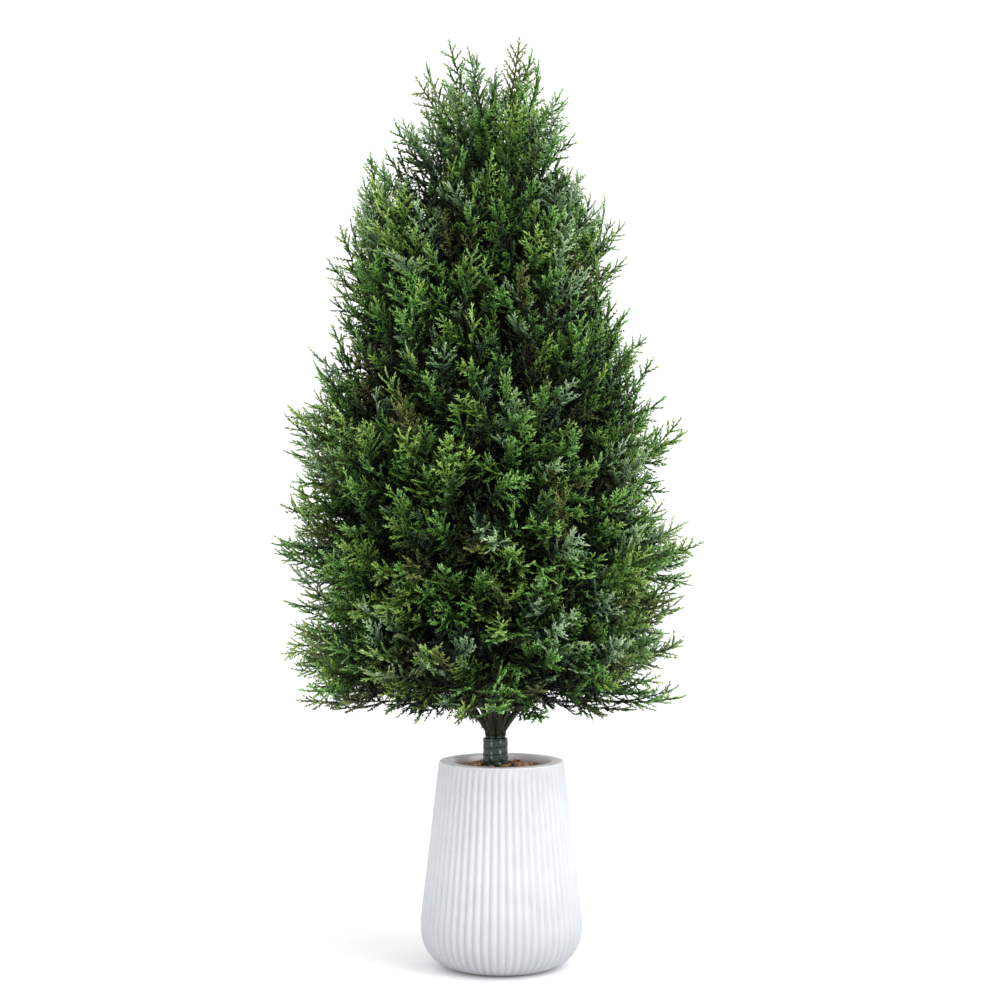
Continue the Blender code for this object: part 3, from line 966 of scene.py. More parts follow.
@dataclass
class BranchStem:
    """The sheathed wire of one branch, from its bend to its tip.

    Attributes:
        number: The branch's number, from 1.
        foot_radius: Radius of the stem at its bend.
        tip_radius: Radius at its tip.
        below: How far the stem goes down past its bend, into the tape's mouth.
        knob: Height of the knobs, as a share of the radius.
        knob_turn: Angle of the knobs' wave over the whole stem, in radians.
        side_radius: Radius of the two side stems at the foot.
        side_rise: How far they climb.
        side_spread: Metres out for each metre up, at the foot.
        side_curve: How fast that grows with the climb.
        side_swings: Their directions from the branch's own, in radians.
        rows: Rings of points up the stem.
        side_rows: Rings up a side stem.
        sides: Points in a ring.
    """

    number: int
    rows: int = 90
    sides: int = 12
    foot_radius: float = 0.0027
    tip_radius: float = 0.0014
    below: float = 0.002
    knob: float = 0.16
    knob_turn: float = 38.0
    side_radius: float = 0.0021
    side_rise: float = 0.045
    side_spread: float = 0.6
    side_curve: float = 6.0
    side_rows: int = 12
    side_swings: tuple[float, ...] = (-0.22, 0.22)

    def __post_init__(self) -> None:
        """Reads the bend, the direction from the joint's axis and the lean from the frame."""
        joint = next(joint for joint in frame["joints"] if joint["child"] == self.body)
        self.foot = np.array(joint["pos_m"], float)
        axis = np.array(joint["axis"], float)
        self.azimuth = math.atan2(-axis[0], axis[1])
        low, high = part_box(f"{self.body}_stem")
        self.top = high.z
        x, y = self.foot[:2]
        spread = max(high.x - x, x - low.x, high.y - y, y - low.y)
        direction = max(abs(math.cos(self.azimuth)), abs(math.sin(self.azimuth)))
        self.lean = (spread - self.tip_radius) / direction

    @property
    def body(self) -> str:
        """Name of the frame's body that the branch moves with."""
        return f"branch_{self.number}"

    def outward(self) -> np.ndarray:
        """Level direction in which the branch leans."""
        return np.array([math.cos(self.azimuth), math.sin(self.azimuth), 0.0])

    def places(self, height: np.ndarray) -> np.ndarray:
        """Points of the stem: lean * sin(quarter turn * share) out from its foot.

        Args:
            height: Heights of the points.

        Returns:
            (n, 3) places.
        """
        share = np.clip((height - self.foot[2]) / (self.top - self.foot[2]), 0.0, 1.0)
        out = self.lean * np.sin(0.5 * math.pi * share)
        level = self.foot[None, :2] + out[:, None] * self.outward()[None, :2]
        return np.concatenate([level, height[:, None]], axis=1)

    def side_places(self, climb: np.ndarray, swing: float) -> np.ndarray:
        """Points of a side stem: spread * climb + curve * climb ** 2 out from the foot.

        Args:
            climb: Heights above the foot.
            swing: Its direction from the branch's own, in radians.

        Returns:
            (n, 3) places.
        """
        out = self.side_spread * climb + self.side_curve * climb**2
        azimuth = self.azimuth + swing
        run = np.stack([out * math.cos(azimuth), out * math.sin(azimuth), climb], -1)
        return self.foot + run

    def build(self, material: bpy.types.Material) -> None:
        """Makes the stem, knobbly where its sprays are pushed on, and its two side stems.

        The knobs add knob * |sin| ** 6 of the share of the stem to the tapering radius.

        Args:
            material: The sheath's finish.
        """
        height = np.linspace(self.foot[2] - self.below, self.top, self.rows)
        share = np.linspace(0.0, 1.0, self.rows)
        radius = self.foot_radius + (self.tip_radius - self.foot_radius) * share
        radius = radius * (1.0 + self.knob * np.abs(np.sin(self.knob_turn * share + self.number)) ** 6)
        across = np.cross(self.outward(), [0.0, 0.0, 1.0])
        tubes = [swept_tube(self.places(height), radius, self.sides, across)]
        climb = np.linspace(0.0, self.side_rise, self.side_rows)
        side_radius = np.linspace(self.side_radius, self.tip_radius, self.side_rows)
        for swing in self.side_swings:
            tubes.append(swept_tube(self.side_places(climb, swing), side_radius, self.sides, across))
        stem = make_piece(f"{self.body}_sheathed_stem", join_surfaces(tubes), material)
        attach(stem, self.body)
        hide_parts(f"{self.body}_stem")


# ------------------------------------------------------------------ foliage


@dataclass
class Shoots:
    """Many shoots of one order, each a gentle arc.

    A shoot's point at share s is base + length * (heading * s + face * arc * s ** 2).

    Attributes:
        base: (n, 3) feet.
        heading: (n, 3) unit directions at the foot.
        face: (n, 3) unit normals of the flat spray that they lie in.
        length: (n,) lengths.
        arc: (n,) bends towards the face.
        dye: (n,) dye of the spray, 0 to 1.
        growth: (n,) growth at the foot, 0 to 1.
    """

    base: np.ndarray
    heading: np.ndarray
    face: np.ndarray
    length: np.ndarray
    arc: np.ndarray
    dye: np.ndarray
    growth: np.ndarray

    def place(self, share: np.ndarray) -> np.ndarray:
        """Points of each shoot by its arc's formula.

        Args:
            share: (n, k) shares of each shoot's length.

        Returns:
            (n, k, 3) places.
        """
        run = self.heading[:, None] * share[..., None]
        bend = self.face[:, None] * (self.arc[:, None] * share**2)[..., None]
        return self.base[:, None] + self.length[:, None, None] * (run + bend)

    def picked(self, kept: np.ndarray) -> "Shoots":
        """The shoots whose flag is set."""
        return Shoots(*(getattr(self, name)[kept] for name in self.__dataclass_fields__))

    def direction(self, share: np.ndarray) -> np.ndarray:
        """Unit directions at the shares (n, k) of each shoot."""
        return unit(self.heading[:, None] + self.face[:, None] * (2.0 * self.arc[:, None] * share)[..., None])


SPIRAL = 2.39996  # the golden angle, in radians: leaves round a twig stand that far apart


@dataclass(frozen=True)
class Branching:
    """How the next order of shoots stands on a shoot.

    Attributes:
        spacing: Distance between neighbours along the shoot.
        bare: Share of the shoot that carries none.
        foot_angle: Angle to the shoot at its foot, in degrees.
        tip_angle: The same at its tip.
        longest: Length of the longest one.
        tip_ratio: Length at the tip, as a share of the longest.
        swell: Share of the shoot over which they reach their longest.
        turn: Angle round the shoot from each one to the next: half a turn makes a flat spray.
        scatter: Random spread of angles, in radians.
        lift: How far each one's face turns from its parent's face towards its parent's tip.
        arc: Bend of each one.
        growth_gain: How much nearer to new growth they are at the shoot's tip.
        own_dye: Share of them that take a dye of their own.
        lead: How much longer the one at the parent's tip is.
        all_round: Share of the parents on which they stand all round, like a star.
        jitter: Random shift along the shoot, as a share of the spacing.
        last: Share of the shoot after which only the leading one stands.
        least: Length of the lowest ones, as a share of the longest.
        length_scatter: Random range of lengths, as a share.
    """

    spacing: float
    bare: float
    foot_angle: float
    tip_angle: float
    longest: float
    tip_ratio: float
    swell: float
    turn: float
    scatter: float
    lift: float
    arc: float
    growth_gain: float
    own_dye: float = 0.0
    lead: float = 1.0
    all_round: float = 0.0
    jitter: float = 0.25
    last: float = 0.97
    least: float = 0.35
    length_scatter: tuple[float, float] = (0.82, 1.15)

    def grow(self, parents: Shoots, scale: np.ndarray, rng: np.random.Generator) -> tuple[Shoots, np.ndarray]:
        """Grows the next order on every parent at once.

        A child leaves its parent at its angle, in the direction that its turn round the
        parent gives.  Its length rises over the swell and then falls in a straight line
        to the tip's.  One more child goes on from each parent's tip.

        Args:
            parents: The shoots that carry them.
            scale: (n,) size of each parent's spray.
            rng: The source of chance.

        Returns:
            The children and their scales.
        """
        spacing = self.spacing * scale[:, None]
        most = int(math.ceil(np.max(parents.length / spacing[:, 0]))) + 1
        count = len(parents.length)
        number = np.arange(most)[None, :]
        jitter = rng.uniform(-self.jitter, self.jitter, (count, most))
        share = self.bare + (number + 0.5 + jitter) * spacing / parents.length[:, None]
        kept = np.concatenate([share < self.last, np.ones((count, 1), bool)], axis=1)
        share = np.clip(np.concatenate([share, np.ones((count, 1))], axis=1), 0.0, 1.0)
        order = np.arange(most + 1)[None, :]
        leading = order == most
        if self.turn == SPIRAL:
            start = rng.uniform(0.0, 2.0 * math.pi, (count, 1))
        else:
            start = rng.integers(0, 2, (count, 1)) * math.pi
        step = np.where(rng.random((count, 1)) < self.all_round, SPIRAL, self.turn)
        turn = start + order * step + rng.normal(0.0, 2.0 * self.scatter, share.shape)
        angle = np.radians(self.foot_angle + (self.tip_angle - self.foot_angle) * share)
        angle = np.where(leading, 0.0, angle + rng.normal(0.0, self.scatter, share.shape))
        along = parents.direction(share)
        face = np.broadcast_to(parents.face[:, None], along.shape)
        across = unit(np.cross(face, along))
        sideways = across * np.cos(turn)[..., None] + np.cross(along, across) * np.sin(turn)[..., None]
        heading = unit(along * np.cos(angle)[..., None] + sideways * np.sin(angle)[..., None])
        facing = face + self.lift * (along - face)
        new_face = unit(np.cross(heading, np.cross(facing, heading) + 1e-6))  # never quite zero
        new_face = np.where(leading[..., None], face, new_face)
        rise = np.clip((share - self.bare) / self.swell, self.least, 1.0)
        beyond = np.clip((share - self.bare - self.swell) / (1.0 - self.swell - self.bare), 0.0, 1.0)
        fall = 1.0 + (self.tip_ratio - 1.0) * beyond
        length = self.longest * scale[:, None] * rise * fall * rng.uniform(*self.length_scatter, share.shape)
        length = np.where(leading, length * self.lead, length)
        dye = np.broadcast_to(parents.dye[:, None], share.shape)
        dye = np.where(rng.random(share.shape) < self.own_dye, rng.random(share.shape), dye)
        growth = parents.growth[:, None] + self.growth_gain * share
        children = Shoots(
            base=parents.place(share)[kept],
            heading=heading[kept],
            face=new_face[kept],
            length=length[kept],
            arc=rng.normal(self.arc, 0.5 * abs(self.arc) + 1e-9, int(kept.sum())),
            dye=dye[kept],
            growth=growth[kept],
        )
        return children, np.broadcast_to(scale[:, None], share.shape)[kept]


FRONDS = Branching(
    spacing=0.0135, bare=0.06, foot_angle=56.0, tip_angle=36.0, longest=0.056, tip_ratio=0.85,
    swell=0.15, turn=SPIRAL, scatter=0.18, lift=0.6, arc=0.14, growth_gain=0.20, own_dye=0.40, lead=1.1,
)
TWIGS = Branching(
    spacing=0.0037, bare=0.08, foot_angle=52.0, tip_angle=38.0, longest=0.0195, tip_ratio=0.50,
    swell=0.25, turn=math.pi, scatter=0.18, lift=0.0, arc=0.10, growth_gain=0.36, all_round=0.45,
)
LEAFLETS = Branching(
    spacing=0.0022, bare=0.08, foot_angle=48.0, tip_angle=36.0, longest=0.0054, tip_ratio=0.70,
    swell=0.10, turn=math.pi, scatter=0.20, lift=0.0, arc=0.0, growth_gain=0.36,
)


@dataclass(frozen=True)
class SprayHabit:
    """How a moulded spray is made and how it stands on its stem.

    Attributes:
        reach: Length of a full spray.
        stalk: Length of its stalk.
        smallest: Least size of a spray, as a share of a full one.
        size_scatter: Random range of its size.
        roll: Most turn of its face from upright, in radians.
        young: Range of the growth at a stalk's foot.
        bend: Range of a stalk's arc.
        stalk_radii: Radii of a stalk at its foot and its tip.
        frond_radii: The same of a frond.
        twig_radius: Radius of a leafy twig.
        bare_radius: Radius of a twig that has lost its leaflets.
        leaflet_radius: Radius of a leaflet.
        link_radii: Radii of the bare twig between the stem and a stalk.
        stalk_steps: Lengths that a stalk's arc is divided into.
        frond_steps: The same for a frond's.
        point: Share of a rod's length at which its point stands.
        wood_growth: How much of its growth shows on a stalk or frond.
        leaf_growth: How much shows at the foot of a twig or leaflet.
        tip_growth: How much more shows at its tip, paler partly as new growth and partly as
        painted light.
        heart_growth: How much still shows in the heart of the crown, under painted shade.
        underside: Height below which no frond ends.
        low_rise: Angle above level of the sprays at the crown's foot, in degrees.
        more_rise: How much more it is at the top.
        rise_power: Power of the height's share by which it grows.
    """

    reach: float = 0.131
    stalk: float = 0.070
    smallest: float = 0.55
    size_scatter: tuple[float, float] = (0.88, 1.12)
    roll: float = 1.25
    young: tuple[float, float] = (0.02, 0.20)
    bend: tuple[float, float] = (-0.10, 0.14)
    stalk_radii: tuple[float, float] = (0.0013, 0.0008)
    frond_radii: tuple[float, float] = (0.0010, 0.0006)
    twig_radius: float = 0.0013
    bare_radius: float = 0.0021
    leaflet_radius: float = 0.0010
    link_radii: tuple[float, float] = (0.0015, 0.0011)
    stalk_steps: int = 4
    frond_steps: int = 2
    point: float = 1.03
    wood_growth: float = 0.55
    leaf_growth: float = 0.9
    tip_growth: float = 0.2
    heart_growth: float = 0.16
    underside: float = 0.253
    low_rise: float = -6.0
    more_rise: float = 79.0
    rise_power: float = 0.95

    def rise(self, height: np.ndarray) -> np.ndarray:
        """Angle above level of a spray, which grows as a power of its tip's height.

        Args:
            height: Heights of the tips.

        Returns:
            Angles in radians.
        """
        share = np.clip((height - CROWN.foot) / (CROWN.crest - CROWN.foot), 0.0, 1.0)
        return np.radians(self.low_rise + self.more_rise * share**self.rise_power)


HABIT = SprayHabit()


def rings_round(shoots: Shoots) -> np.ndarray:
    """Three directions round each shoot: cos(a) * across + sin(a) * face.

    Args:
        shoots: The shoots.

    Returns:
        (n, 3, 3) directions.
    """
    across = np.cross(shoots.face, shoots.heading)[:, None]
    cosine, sine = np.cos(turns(3))[None, :, None], np.sin(turns(3))[None, :, None]
    return across * cosine + shoots.face[:, None] * sine


def spike_surface(shoots: Shoots, radius: np.ndarray) -> Surface:
    """Each shoot as a closed three-sided spike: four points and four faces.

    Args:
        shoots: The shoots.
        radius: (n,) radii at their feet.

    Returns:
        The spikes.
    """
    count = len(shoots.length)
    foot = shoots.base[:, None] + rings_round(shoots) * radius[:, None, None]
    tip = shoots.place(np.ones((count, 1)))
    points = np.concatenate([foot, tip], axis=1).reshape(-1, 3)
    one = np.array([[0, 1, 2], [3, 1, 0], [3, 2, 1], [3, 0, 2]])
    triangles = (one[None] + 4 * np.arange(count)[:, None, None]).reshape(-1, 3)
    # the tip point is paler: partly new growth, partly painted light
    paler = np.array([0.0, 0.0, 0.0, HABIT.tip_growth])
    growth = np.minimum((HABIT.leaf_growth * shoots.growth)[:, None] + paler[None, :], 1.0)
    dye = np.broadcast_to(shoots.dye[:, None], growth.shape)
    return Surface(points, triangles=triangles, shades=np.stack([dye, growth], -1).reshape(-1, 2))


def shoot_surface(shoots: Shoots, foot: np.ndarray, tip: np.ndarray, steps: int) -> Surface:
    """Each shoot as a three-sided tapering rod along its arc, with a pointed end.

    Args:
        shoots: The shoots.
        foot: (n,) radii at their feet.
        tip: (n,) radii near their tips.
        steps: Lengths that each one is divided into.

    Returns:
        The rods.
    """
    count = len(shoots.length)
    share = np.broadcast_to(np.linspace(0.0, 1.0, steps + 1)[None, :], (count, steps + 1))
    line = shoots.place(share)
    radius = foot[:, None] + (tip - foot)[:, None] * share
    points = line[:, :, None] + rings_round(shoots)[:, None] * radius[..., None, None]
    points = points.reshape(count, -1, 3)
    point = shoots.place(np.full((count, 1), HABIT.point))
    points = np.concatenate([points, line[:, :1], point], axis=1)
    per_shoot = points.shape[1]
    offset = (np.arange(count) * per_shoot)[:, None, None]
    # across, face and heading turn left-handed here, so the faces are flipped to look out
    quads = (grid_quads(steps + 1, 3)[:, ::-1][None] + offset).reshape(-1, 4)
    triangles = (cap_fans(steps + 1, 3)[:, ::-1][None] + offset).reshape(-1, 3)
    growth = np.broadcast_to((shoots.growth * HABIT.wood_growth)[:, None], (count, per_shoot))
    dye = np.broadcast_to(shoots.dye[:, None], (count, per_shoot))
    return Surface(points.reshape(-1, 3), quads, triangles, np.stack([dye, growth], -1).reshape(-1, 2))


def spray_surface(stalks: Shoots, scale: np.ndarray, rng: np.random.Generator, leafy: bool) -> Surface:
    """Whole sprays: stalks carry fronds, fronds carry twigs and twigs carry leaflets.

    Args:
        stalks: The stalks of the sprays.
        scale: Each spray's size.
        rng: The source of chance.
        leafy: Whether twigs carry leaflets; the old inner ones are bare and a little thicker.

    Returns:
        All the sprays in one surface, with painted shade that dims their growth in the heart
        of the crown, lifted near its outline and top.
    """
    fronds, frond_scale = FRONDS.grow(stalks, scale, rng)
    clear = fronds.place(np.ones((len(fronds.length), 1)))[:, 0, 2] > HABIT.underside
    fronds, frond_scale = fronds.picked(clear), frond_scale[clear]
    twigs, twig_scale = TWIGS.grow(fronds, frond_scale, rng)
    thick, thin = HABIT.stalk_radii
    frond_thick, frond_thin = HABIT.frond_radii
    parts = [
        shoot_surface(stalks, thick * scale, thin * scale, HABIT.stalk_steps),
        shoot_surface(fronds, frond_thick * frond_scale, frond_thin * frond_scale, HABIT.frond_steps),
        spike_surface(twigs, (HABIT.twig_radius if leafy else HABIT.bare_radius) * twig_scale),
    ]
    if leafy:
        leaflets, leaflet_scale = LEAFLETS.grow(twigs, twig_scale, rng)
        parts.append(spike_surface(leaflets, HABIT.leaflet_radius * leaflet_scale))
    surface = join_surfaces(parts)
    # painted shade: the growth darkens towards the heart of the crown, and is full near the outline and the
    # top
    heart = HABIT.heart_growth
    surface.shades[:, 1] *= heart + (1.0 - heart) * CROWN.exposure(surface.points)
    return surface


@dataclass(frozen=True)
class Crown:
    """The outline that the sprays' tips reach, wider on one side than on the other.

    Attributes:
        axis_x: Where the crown's axis stands.
        outline: Heights, with the reach from the axis to -X and to +X at each.
        foot: Height of the tips that rise the least.
        crest: Height of the tips that rise the most.
        shaded: Share of the reach within which painted shade dims the sprays' colour most.
        brightening: Further share of the reach over which that painted shade fades out.
        top: Height from which the top is free of painted shade, whatever the reach.
        top_brightening: Height over which it does.
    """

    axis_x: float = -0.016
    outline: tuple[tuple[float, float, float], ...] = (
        (0.232, 0.120, 0.100),
        (0.248, 0.185, 0.155),
        (0.265, 0.200, 0.184),
        (0.320, 0.196, 0.200),
        (0.370, 0.166, 0.184),
        (0.420, 0.204, 0.208),
        (0.480, 0.190, 0.184),
        (0.540, 0.186, 0.190),
        (0.600, 0.168, 0.158),
        (0.660, 0.142, 0.138),
        (0.720, 0.148, 0.121),
        (0.790, 0.120, 0.104),
        (0.840, 0.092, 0.090),
        (0.890, 0.066, 0.076),
        (0.914, 0.046, 0.050),
    )
    foot: float = 0.240
    crest: float = 0.914
    shaded: float = 0.56
    brightening: float = 0.38
    top: float = 0.72
    top_brightening: float = 0.12

    def reach(self, height: np.ndarray, azimuth: np.ndarray) -> np.ndarray:
        """Radius of the outline: left + (right - left) * (1 + cos(azimuth)) / 2.

        Args:
            height: Heights of the points.
            azimuth: Their directions from the crown's axis.

        Returns:
            The reach at each.
        """
        toward_right = 0.5 * (1.0 + np.cos(azimuth))
        heights, lefts, rights = np.array(self.outline).T
        left = np.interp(height, heights, lefts)
        right = np.interp(height, heights, rights)
        return left + (right - left) * toward_right

    def exposure(self, points: np.ndarray) -> np.ndarray:
        """How far out points stand, as a share of painted light: 0 in the heart of the crown,
        where the painted shade is deepest, 1 near its outline and top.

        Args:
            points: (n, 3) places.

        Returns:
            (n,) values from 0 to 1.
        """
        level = points[:, :2] - np.array([self.axis_x, 0.0])
        azimuth = np.arctan2(level[:, 1], level[:, 0])
        share = np.linalg.norm(level, axis=1) / self.reach(points[:, 2], azimuth)
        over_top = (points[:, 2] - self.top) / self.top_brightening
        return np.clip(np.maximum((share - self.shaded) / self.brightening, over_top), 0.0, 1.0)

    def tips(self, height: np.ndarray, azimuth: np.ndarray, fullness: np.ndarray) -> np.ndarray:
        """Places at a share of the reach: the axis plus reach * (cos, sin) of the azimuth.

        Args:
            height: Heights of the places.
            azimuth: Their directions from the axis.
            fullness: Their shares of the reach.

        Returns:
            (n, 3) places.
        """
        reach = self.reach(height, azimuth) * fullness
        return np.stack([self.axis_x + reach * np.cos(azimuth), reach * np.sin(azimuth), height], -1)


CROWN = Crown()


@dataclass
class SprayGroup:
    """Sprays that are grown together.

    Attributes:
        tips: (n, 3) places where they end.
        feet: (n, 3) places on the stem that carry them.
        leafy: Whether their twigs carry leaflets.
    """

    tips: np.ndarray
    feet: np.ndarray
    leafy: bool


class Tier(Enum):
    """The three heights of sprays on a branch: name, tips from, tips to, outer, inner, slot."""

    LOWER = ("lower", 0.268, 0.420, 28, 16, "foliage_dark")
    MIDDLE = ("middle", 0.420, 0.590, 23, 15, "foliage_green")
    UPPER = ("upper", 0.590, 0.790, 19, 10, "foliage_tips")


class LeaderTier(Enum):
    """The three heights of sprays on the leader, as Tier."""

    INNER = ("inner", 0.340, 0.700, 2, 75, "foliage_dark")
    MIDDLE = ("middle", 0.680, 0.820, 18, 14, "foliage_green")
    TOP = ("top", 0.790, 0.882, 22, 4, "foliage_tips")


def spread_evenly(count: int, rng: np.random.Generator) -> np.ndarray:
    """Shares from 0 to 1, one near the middle of each of count equal steps."""
    return (np.arange(count) + rng.uniform(0.2, 0.8, count)) / count


def stalks_to(group: SprayGroup, rng: np.random.Generator) -> tuple[Shoots, np.ndarray, Surface]:
    """Stalks whose sprays end at the tips, with bare twigs from the stem to their feet.

    Args:
        group: The sprays' tips and feet.
        rng: The source of chance.

    Returns:
        The stalks, each spray's scale, and the bare twigs that carry them.
    """
    run = group.tips - group.feet
    distance = np.linalg.norm(run, axis=1)
    heading = unit(run)
    count = len(run)
    scale = np.clip(distance / HABIT.reach, HABIT.smallest, 1.0) * rng.uniform(*HABIT.size_scatter, count)
    base = group.tips - heading * (HABIT.reach * scale)[:, None]
    up = np.broadcast_to([0.0, 0.0, 1.0], heading.shape)
    level = unit(np.cross(heading, up))
    above = np.cross(level, heading)
    roll = rng.uniform(-HABIT.roll, HABIT.roll, count)
    face = above * np.cos(roll)[:, None] + level * np.sin(roll)[:, None]
    dye = rng.random(count)
    growth = rng.uniform(*HABIT.young, count)
    stalks = Shoots(base, heading, face, HABIT.stalk * scale, rng.uniform(*HABIT.bend, count), dye, growth)
    gap = base - group.feet
    straight = np.zeros(count)
    link = Shoots(group.feet, unit(gap), face, np.linalg.norm(gap, axis=1), straight, dye, straight)
    link_foot, link_tip = HABIT.link_radii
    return stalks, scale, shoot_surface(link, np.full(count, link_foot), link_tip * scale, 1)


def grow_sprays(
    name: str, groups: list[SprayGroup], rng: np.random.Generator, material: bpy.types.Material
) -> bpy.types.Object:
    """Makes one foliage piece of several groups of sprays.

    Args:
        name: The piece's name.
        groups: Its sprays.
        rng: The source of chance.
        material: The foliage's finish.

    Returns:
        The piece.
    """
    parts = []
    for group in groups:
        stalks, scale, bare = stalks_to(group, rng)
        parts += [bare, spray_surface(stalks, scale, rng, group.leafy)]
    LOG.info("%s: %d sprays", name, sum(len(group.tips) for group in groups))
    return make_piece(name, join_surfaces(parts), material)


@dataclass
class BranchFoliage:
    """All the sprays of one branch, in three tiers, as the frame has them.

    Attributes:
        stem: The branch's stem.
        half_sector: Half the angle that the branch's sprays fill, in radians.
        leafy_fullness: Range of the crown's reach that the outer sprays fill.
        inner_fullness: Range that the bare inner ones fill.
        sunk: How far every fourth outer spray is set back, which makes dark hollows.
        rise_scatter: Random spread of the sprays' rise, in radians.
        drop_run: Longest level run that counts towards a foot's drop, in full sprays.
        foot_clear: Least height of a spray's foot above the bend.
        top_clear: Least distance of a spray's foot below the stem's tip.
        inner_lift: How much higher the inner sprays of a tier start than its outer ones.
        seed: Start of the branch's seeds: ten for each branch and one for each tier.
    """

    stem: BranchStem
    half_sector: float = math.radians(25.0)
    leafy_fullness: tuple[float, float] = (0.88, 1.08)
    inner_fullness: tuple[float, float] = (0.45, 0.80)
    sunk: float = 0.14
    rise_scatter: float = 0.16
    drop_run: float = 1.3
    foot_clear: float = 0.030
    top_clear: float = 0.004
    inner_lift: float = 0.01
    seed: int = 1000

    def group(self, low: float, high: float, count: int, leafy: bool, rng: np.random.Generator) -> SprayGroup:
        """Tips spread evenly over the branch's sector, and where each one stands on the stem.

        A tip's swing is the fraction of its order times the golden ratio, and its foot is
        lower than the tip by the level run times the tangent of its rise.

        Args:
            low: Height of the lowest tips.
            high: Height of the highest.
            count: How many sprays.
            leafy: Whether they are the outer, leafy ones.
            rng: The source of chance.

        Returns:
            The group.
        """
        order = spread_evenly(count, rng)
        height = low + (high - low) * order
        swing = (np.mod(order * count * GOLDEN_RATIO, 1.0) * 2.0 - 1.0) * self.half_sector
        azimuth = self.stem.azimuth + swing
        fullness = rng.uniform(*(self.leafy_fullness if leafy else self.inner_fullness), count)
        fullness = np.where(leafy & (np.arange(count) % 4 == 3), fullness - self.sunk, fullness)
        tips = CROWN.tips(height, azimuth, fullness)
        rise = HABIT.rise(height) + rng.normal(0.0, self.rise_scatter, count)
        run = np.hypot(tips[:, 0] - self.stem.foot[0], tips[:, 1] - self.stem.foot[1])
        drop = np.minimum(run, HABIT.reach * self.drop_run) * np.tan(rise)
        lowest = self.stem.foot[2] + self.foot_clear
        foot_height = np.clip(height - drop, lowest, self.stem.top - self.top_clear)
        return SprayGroup(tips, self.stem.places(foot_height), leafy)

    def build(self, material: bpy.types.Material) -> None:
        """Grows each tier's sprays and lets them ride on the branch.

        Args:
            material: The foliage's finish.
        """
        for number, tier in enumerate(Tier):
            label, low, high, outer, inner, slot = tier.value
            rng = np.random.default_rng(self.seed + 10 * self.stem.number + number)
            leafy = self.group(low, high, outer, True, rng)
            bare = self.group(low + self.inner_lift, high, inner, False, rng)
            piece = grow_sprays(f"{self.stem.body}_{label}_cedar", [leafy, bare], rng, material)
            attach(piece, self.stem.body)
            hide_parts(f"{self.stem.body}_{label}_sprays")


@dataclass
class Leader:
    """The middle stem and its sprays, which fill the heart and make the top of the tree.

    Attributes:
        foot_radius: Radius of the stem at its foot.
        tip_radius: Radius at its tip.
        first_turn: Direction of the first spray, in radians.
        leafy_fullness: Range of the crown's reach that the outer sprays fill.
        inner_fullness: Range that the bare inner ones fill.
        top_rise: Angle above level of the highest sprays, in degrees.
        top_tips: Where the highest sprays end.
        seed: Seed of the lowest tier; each tier above has the next one.
        rows: Rings of points up the stem.
        sides: Points in a ring.
    """

    foot_radius: float = 0.0027
    tip_radius: float = 0.0013
    rows: int = 120
    sides: int = 12
    first_turn: float = 0.6
    leafy_fullness: tuple[float, float] = (0.88, 1.04)
    inner_fullness: tuple[float, float] = (0.25, 0.70)
    top_rise: float = 80.0
    seed: int = 2000
    top_tips: tuple[tuple[float, float, float], ...] = (
        (-0.048, -0.008, 0.915),
        (0.010, -0.022, 0.908),
        (0.048, 0.004, 0.892),
        (-0.070, 0.006, 0.886),
        (-0.026, 0.034, 0.880),
        (0.024, 0.034, 0.888),
        (-0.020, -0.045, 0.868),
    )

    def __post_init__(self) -> None:
        """Reads the leader's line from the frame."""
        low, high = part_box("leader_stem")
        self.x = (low.x + high.x) / 2.0
        self.low = low.z
        self.top = high.z

    def feet(self, tips: np.ndarray, rise: np.ndarray) -> np.ndarray:
        """Places on the leader: a full spray's reach times sin(rise) below the tips.

        Args:
            tips: (n, 3) ends of the sprays.
            rise: Their angles above level, in radians.

        Returns:
            (n, 3) places.
        """
        foot_height = np.minimum(tips[:, 2] - HABIT.reach * np.sin(rise), self.top)
        return np.stack([np.full(len(tips), self.x), np.zeros(len(tips)), foot_height], -1)

    def group(self, low: float, high: float, count: int, leafy: bool, rng: np.random.Generator) -> SprayGroup:
        """Tips in a spiral round the leader: each stands a golden angle on from the last.

        Args:
            low: Height of the lowest tips.
            high: Height of the highest.
            count: How many sprays.
            leafy: Whether they are the outer, leafy ones.
            rng: The source of chance.

        Returns:
            The group.
        """
        height = low + (high - low) * spread_evenly(count, rng)
        azimuth = np.arange(count) * SPIRAL + self.first_turn
        fullness = rng.uniform(*(self.leafy_fullness if leafy else self.inner_fullness), count)
        tips = CROWN.tips(height, azimuth, fullness)
        return SprayGroup(tips, self.feet(tips, HABIT.rise(height)), leafy)

    def top_group(self) -> SprayGroup:
        """The highest sprays, which stand nearly upright."""
        tips = np.array(self.top_tips)
        return SprayGroup(tips, self.feet(tips, np.full(len(tips), math.radians(self.top_rise))), True)

    def build(self, sheath: bpy.types.Material, cedar: bpy.types.Material) -> None:
        """Makes the leader's stem and its three tiers of sprays.

        Args:
            sheath: The stem's finish.
            cedar: The foliage's finish.
        """
        height = np.linspace(self.low, self.top, self.rows)
        path = np.stack([np.full(self.rows, self.x), np.zeros(self.rows), height], -1)
        radius = self.foot_radius + (self.tip_radius - self.foot_radius) * np.linspace(0.0, 1.0, self.rows)
        tube = swept_tube(path, radius, self.sides, np.array([0.0, 1.0, 0.0]))
        stem = make_piece("leader_sheathed_stem", tube, sheath)
        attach(stem, "root")
        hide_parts("leader_stem")
        for number, tier in enumerate(LeaderTier):
            label, low, high, outer, inner, slot = tier.value
            rng = np.random.default_rng(self.seed + number)
            groups = [self.group(low, high, outer, True, rng), self.group(low, high, inner, False, rng)]
            if tier is LeaderTier.TOP:
                groups.append(self.top_group())
            piece = grow_sprays(f"leader_{label}_cedar", groups, rng, cedar)
            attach(piece, "root")
            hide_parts(f"leader_{label}_sprays")


# ------------------------------------------------------------------ studio


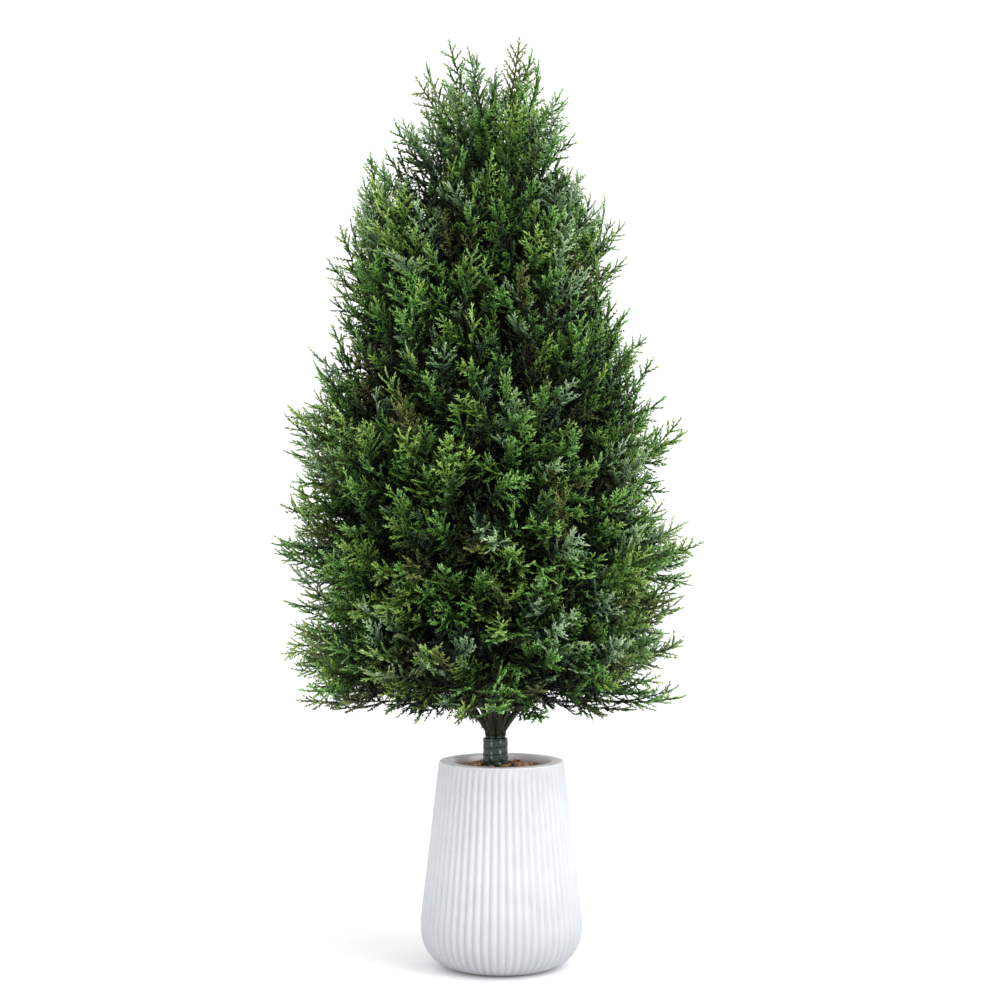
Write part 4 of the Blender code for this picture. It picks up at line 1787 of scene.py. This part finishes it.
@dataclass(frozen=True)
class Softbox:
    """A square soft light that looks at the middle of the tree.

    Attributes:
        name: Its name.
        place: Where it hangs.
        size: Its side.
        power: Its power in watts.
        aim: Where it looks.
    """

    name: str
    place: tuple[float, float, float]
    size: float
    power: float
    aim: tuple[float, float, float] = (0.0, 0.0, 0.45)

    def build(self) -> None:
        """Hangs the light: its own -Z axis turns down and round until it meets the aim."""
        data = bpy.data.lights.new(self.name, "AREA")
        data.energy = self.power
        data.size = self.size
        light = bpy.data.objects.new(self.name, data)
        light.location = self.place
        look = np.array(self.aim) - np.array(self.place)
        level = math.hypot(look[0], look[1])
        light.rotation_euler = (math.atan2(level, -look[2]), 0.0, math.atan2(-look[0], look[1]))
        bpy.context.scene.collection.objects.link(light)


@dataclass
class Studio:
    """Plain white floor, soft lights and the camera in front of the tree, at half its height.

    Attributes:
        distance: From the camera to the tree's axis.
        aside: How far the camera stands to +X.
        eye: Height of the camera.
        view_height: Height of the picture at the tree's axis.
        sensor: Width of the camera's sensor in millimetres.
        backdrop: Brightness of the white room.
        half_floor: Half the side of the floor.
        lights: The softboxes: one high and one low from the right, and a weak fill.
    """

    distance: float = 1.98
    aside: float = -0.0015
    eye: float = 0.4598
    view_height: float = 0.989
    sensor: float = 36.0
    backdrop: float = 1.2
    half_floor: float = 12.0
    lights: tuple[Softbox, ...] = (
        Softbox("high_softbox", (1.4, -1.4, 2.0), 1.5, 23.0),
        Softbox("low_softbox", (2.0, -1.7, 0.75), 0.9, 19.0),
        Softbox("front_fill", (-1.2, -2.2, 0.6), 0.7, 7.0),
    )

    def build(self) -> None:
        """Adds the camera, the world, the lights and the floor."""
        scene = bpy.context.scene
        camera_data = bpy.data.cameras.new("front_camera")
        camera_data.sensor_width = self.sensor
        camera_data.lens = self.sensor * self.distance / self.view_height
        camera = bpy.data.objects.new("front_camera", camera_data)
        camera.location = (self.aside, -self.distance, self.eye)
        camera.rotation_euler = (0.5 * math.pi, 0.0, 0.0)
        scene.collection.objects.link(camera)
        scene.camera = camera
        scene.view_settings.view_transform = "Standard"
        world = bpy.data.worlds.new("white_studio")
        world.use_nodes = True
        background = world.node_tree.nodes["Background"]
        background.inputs["Color"].default_value = to_linear("#ffffff")
        background.inputs["Strength"].default_value = self.backdrop
        scene.world = world
        for light in self.lights:
            light.build()
        floor = make_piece("floor", self.floor_surface(), FLOOR.build())

    def floor_surface(self) -> Surface:
        """A flat square sheet at the height of the planter's base.

        Returns:
            The sheet.
        """
        half = self.half_floor
        corners = np.array([[-half, -half, 0.0], [half, -half, 0.0], [half, half, 0.0], [-half, half, 0.0]])
        return Surface(corners, quads=np.array([[0, 1, 2, 3]]))


# ------------------------------------------------------------------ assembly


def main() -> None:
    """Builds the planter, the gravel, the trunk, the branches and the studio, in that order."""
    logging.basicConfig(level=logging.INFO, format="%(name)s %(message)s")
    Planter().build()
    Gravel().build()
    TrunkTape().build()
    sheath = SHEATH.build()
    cedar = CEDAR.build()
    for number in range(1, BRANCHES + 1):
        stem = BranchStem(number)
        stem.build(sheath)
        dress_node(f"{stem.body}_foot_wire", sheath)
        BranchFoliage(stem).build(cedar)
    Leader().build(sheath, cedar)
    Studio().build()


if __name__ == "__main__":
    main()
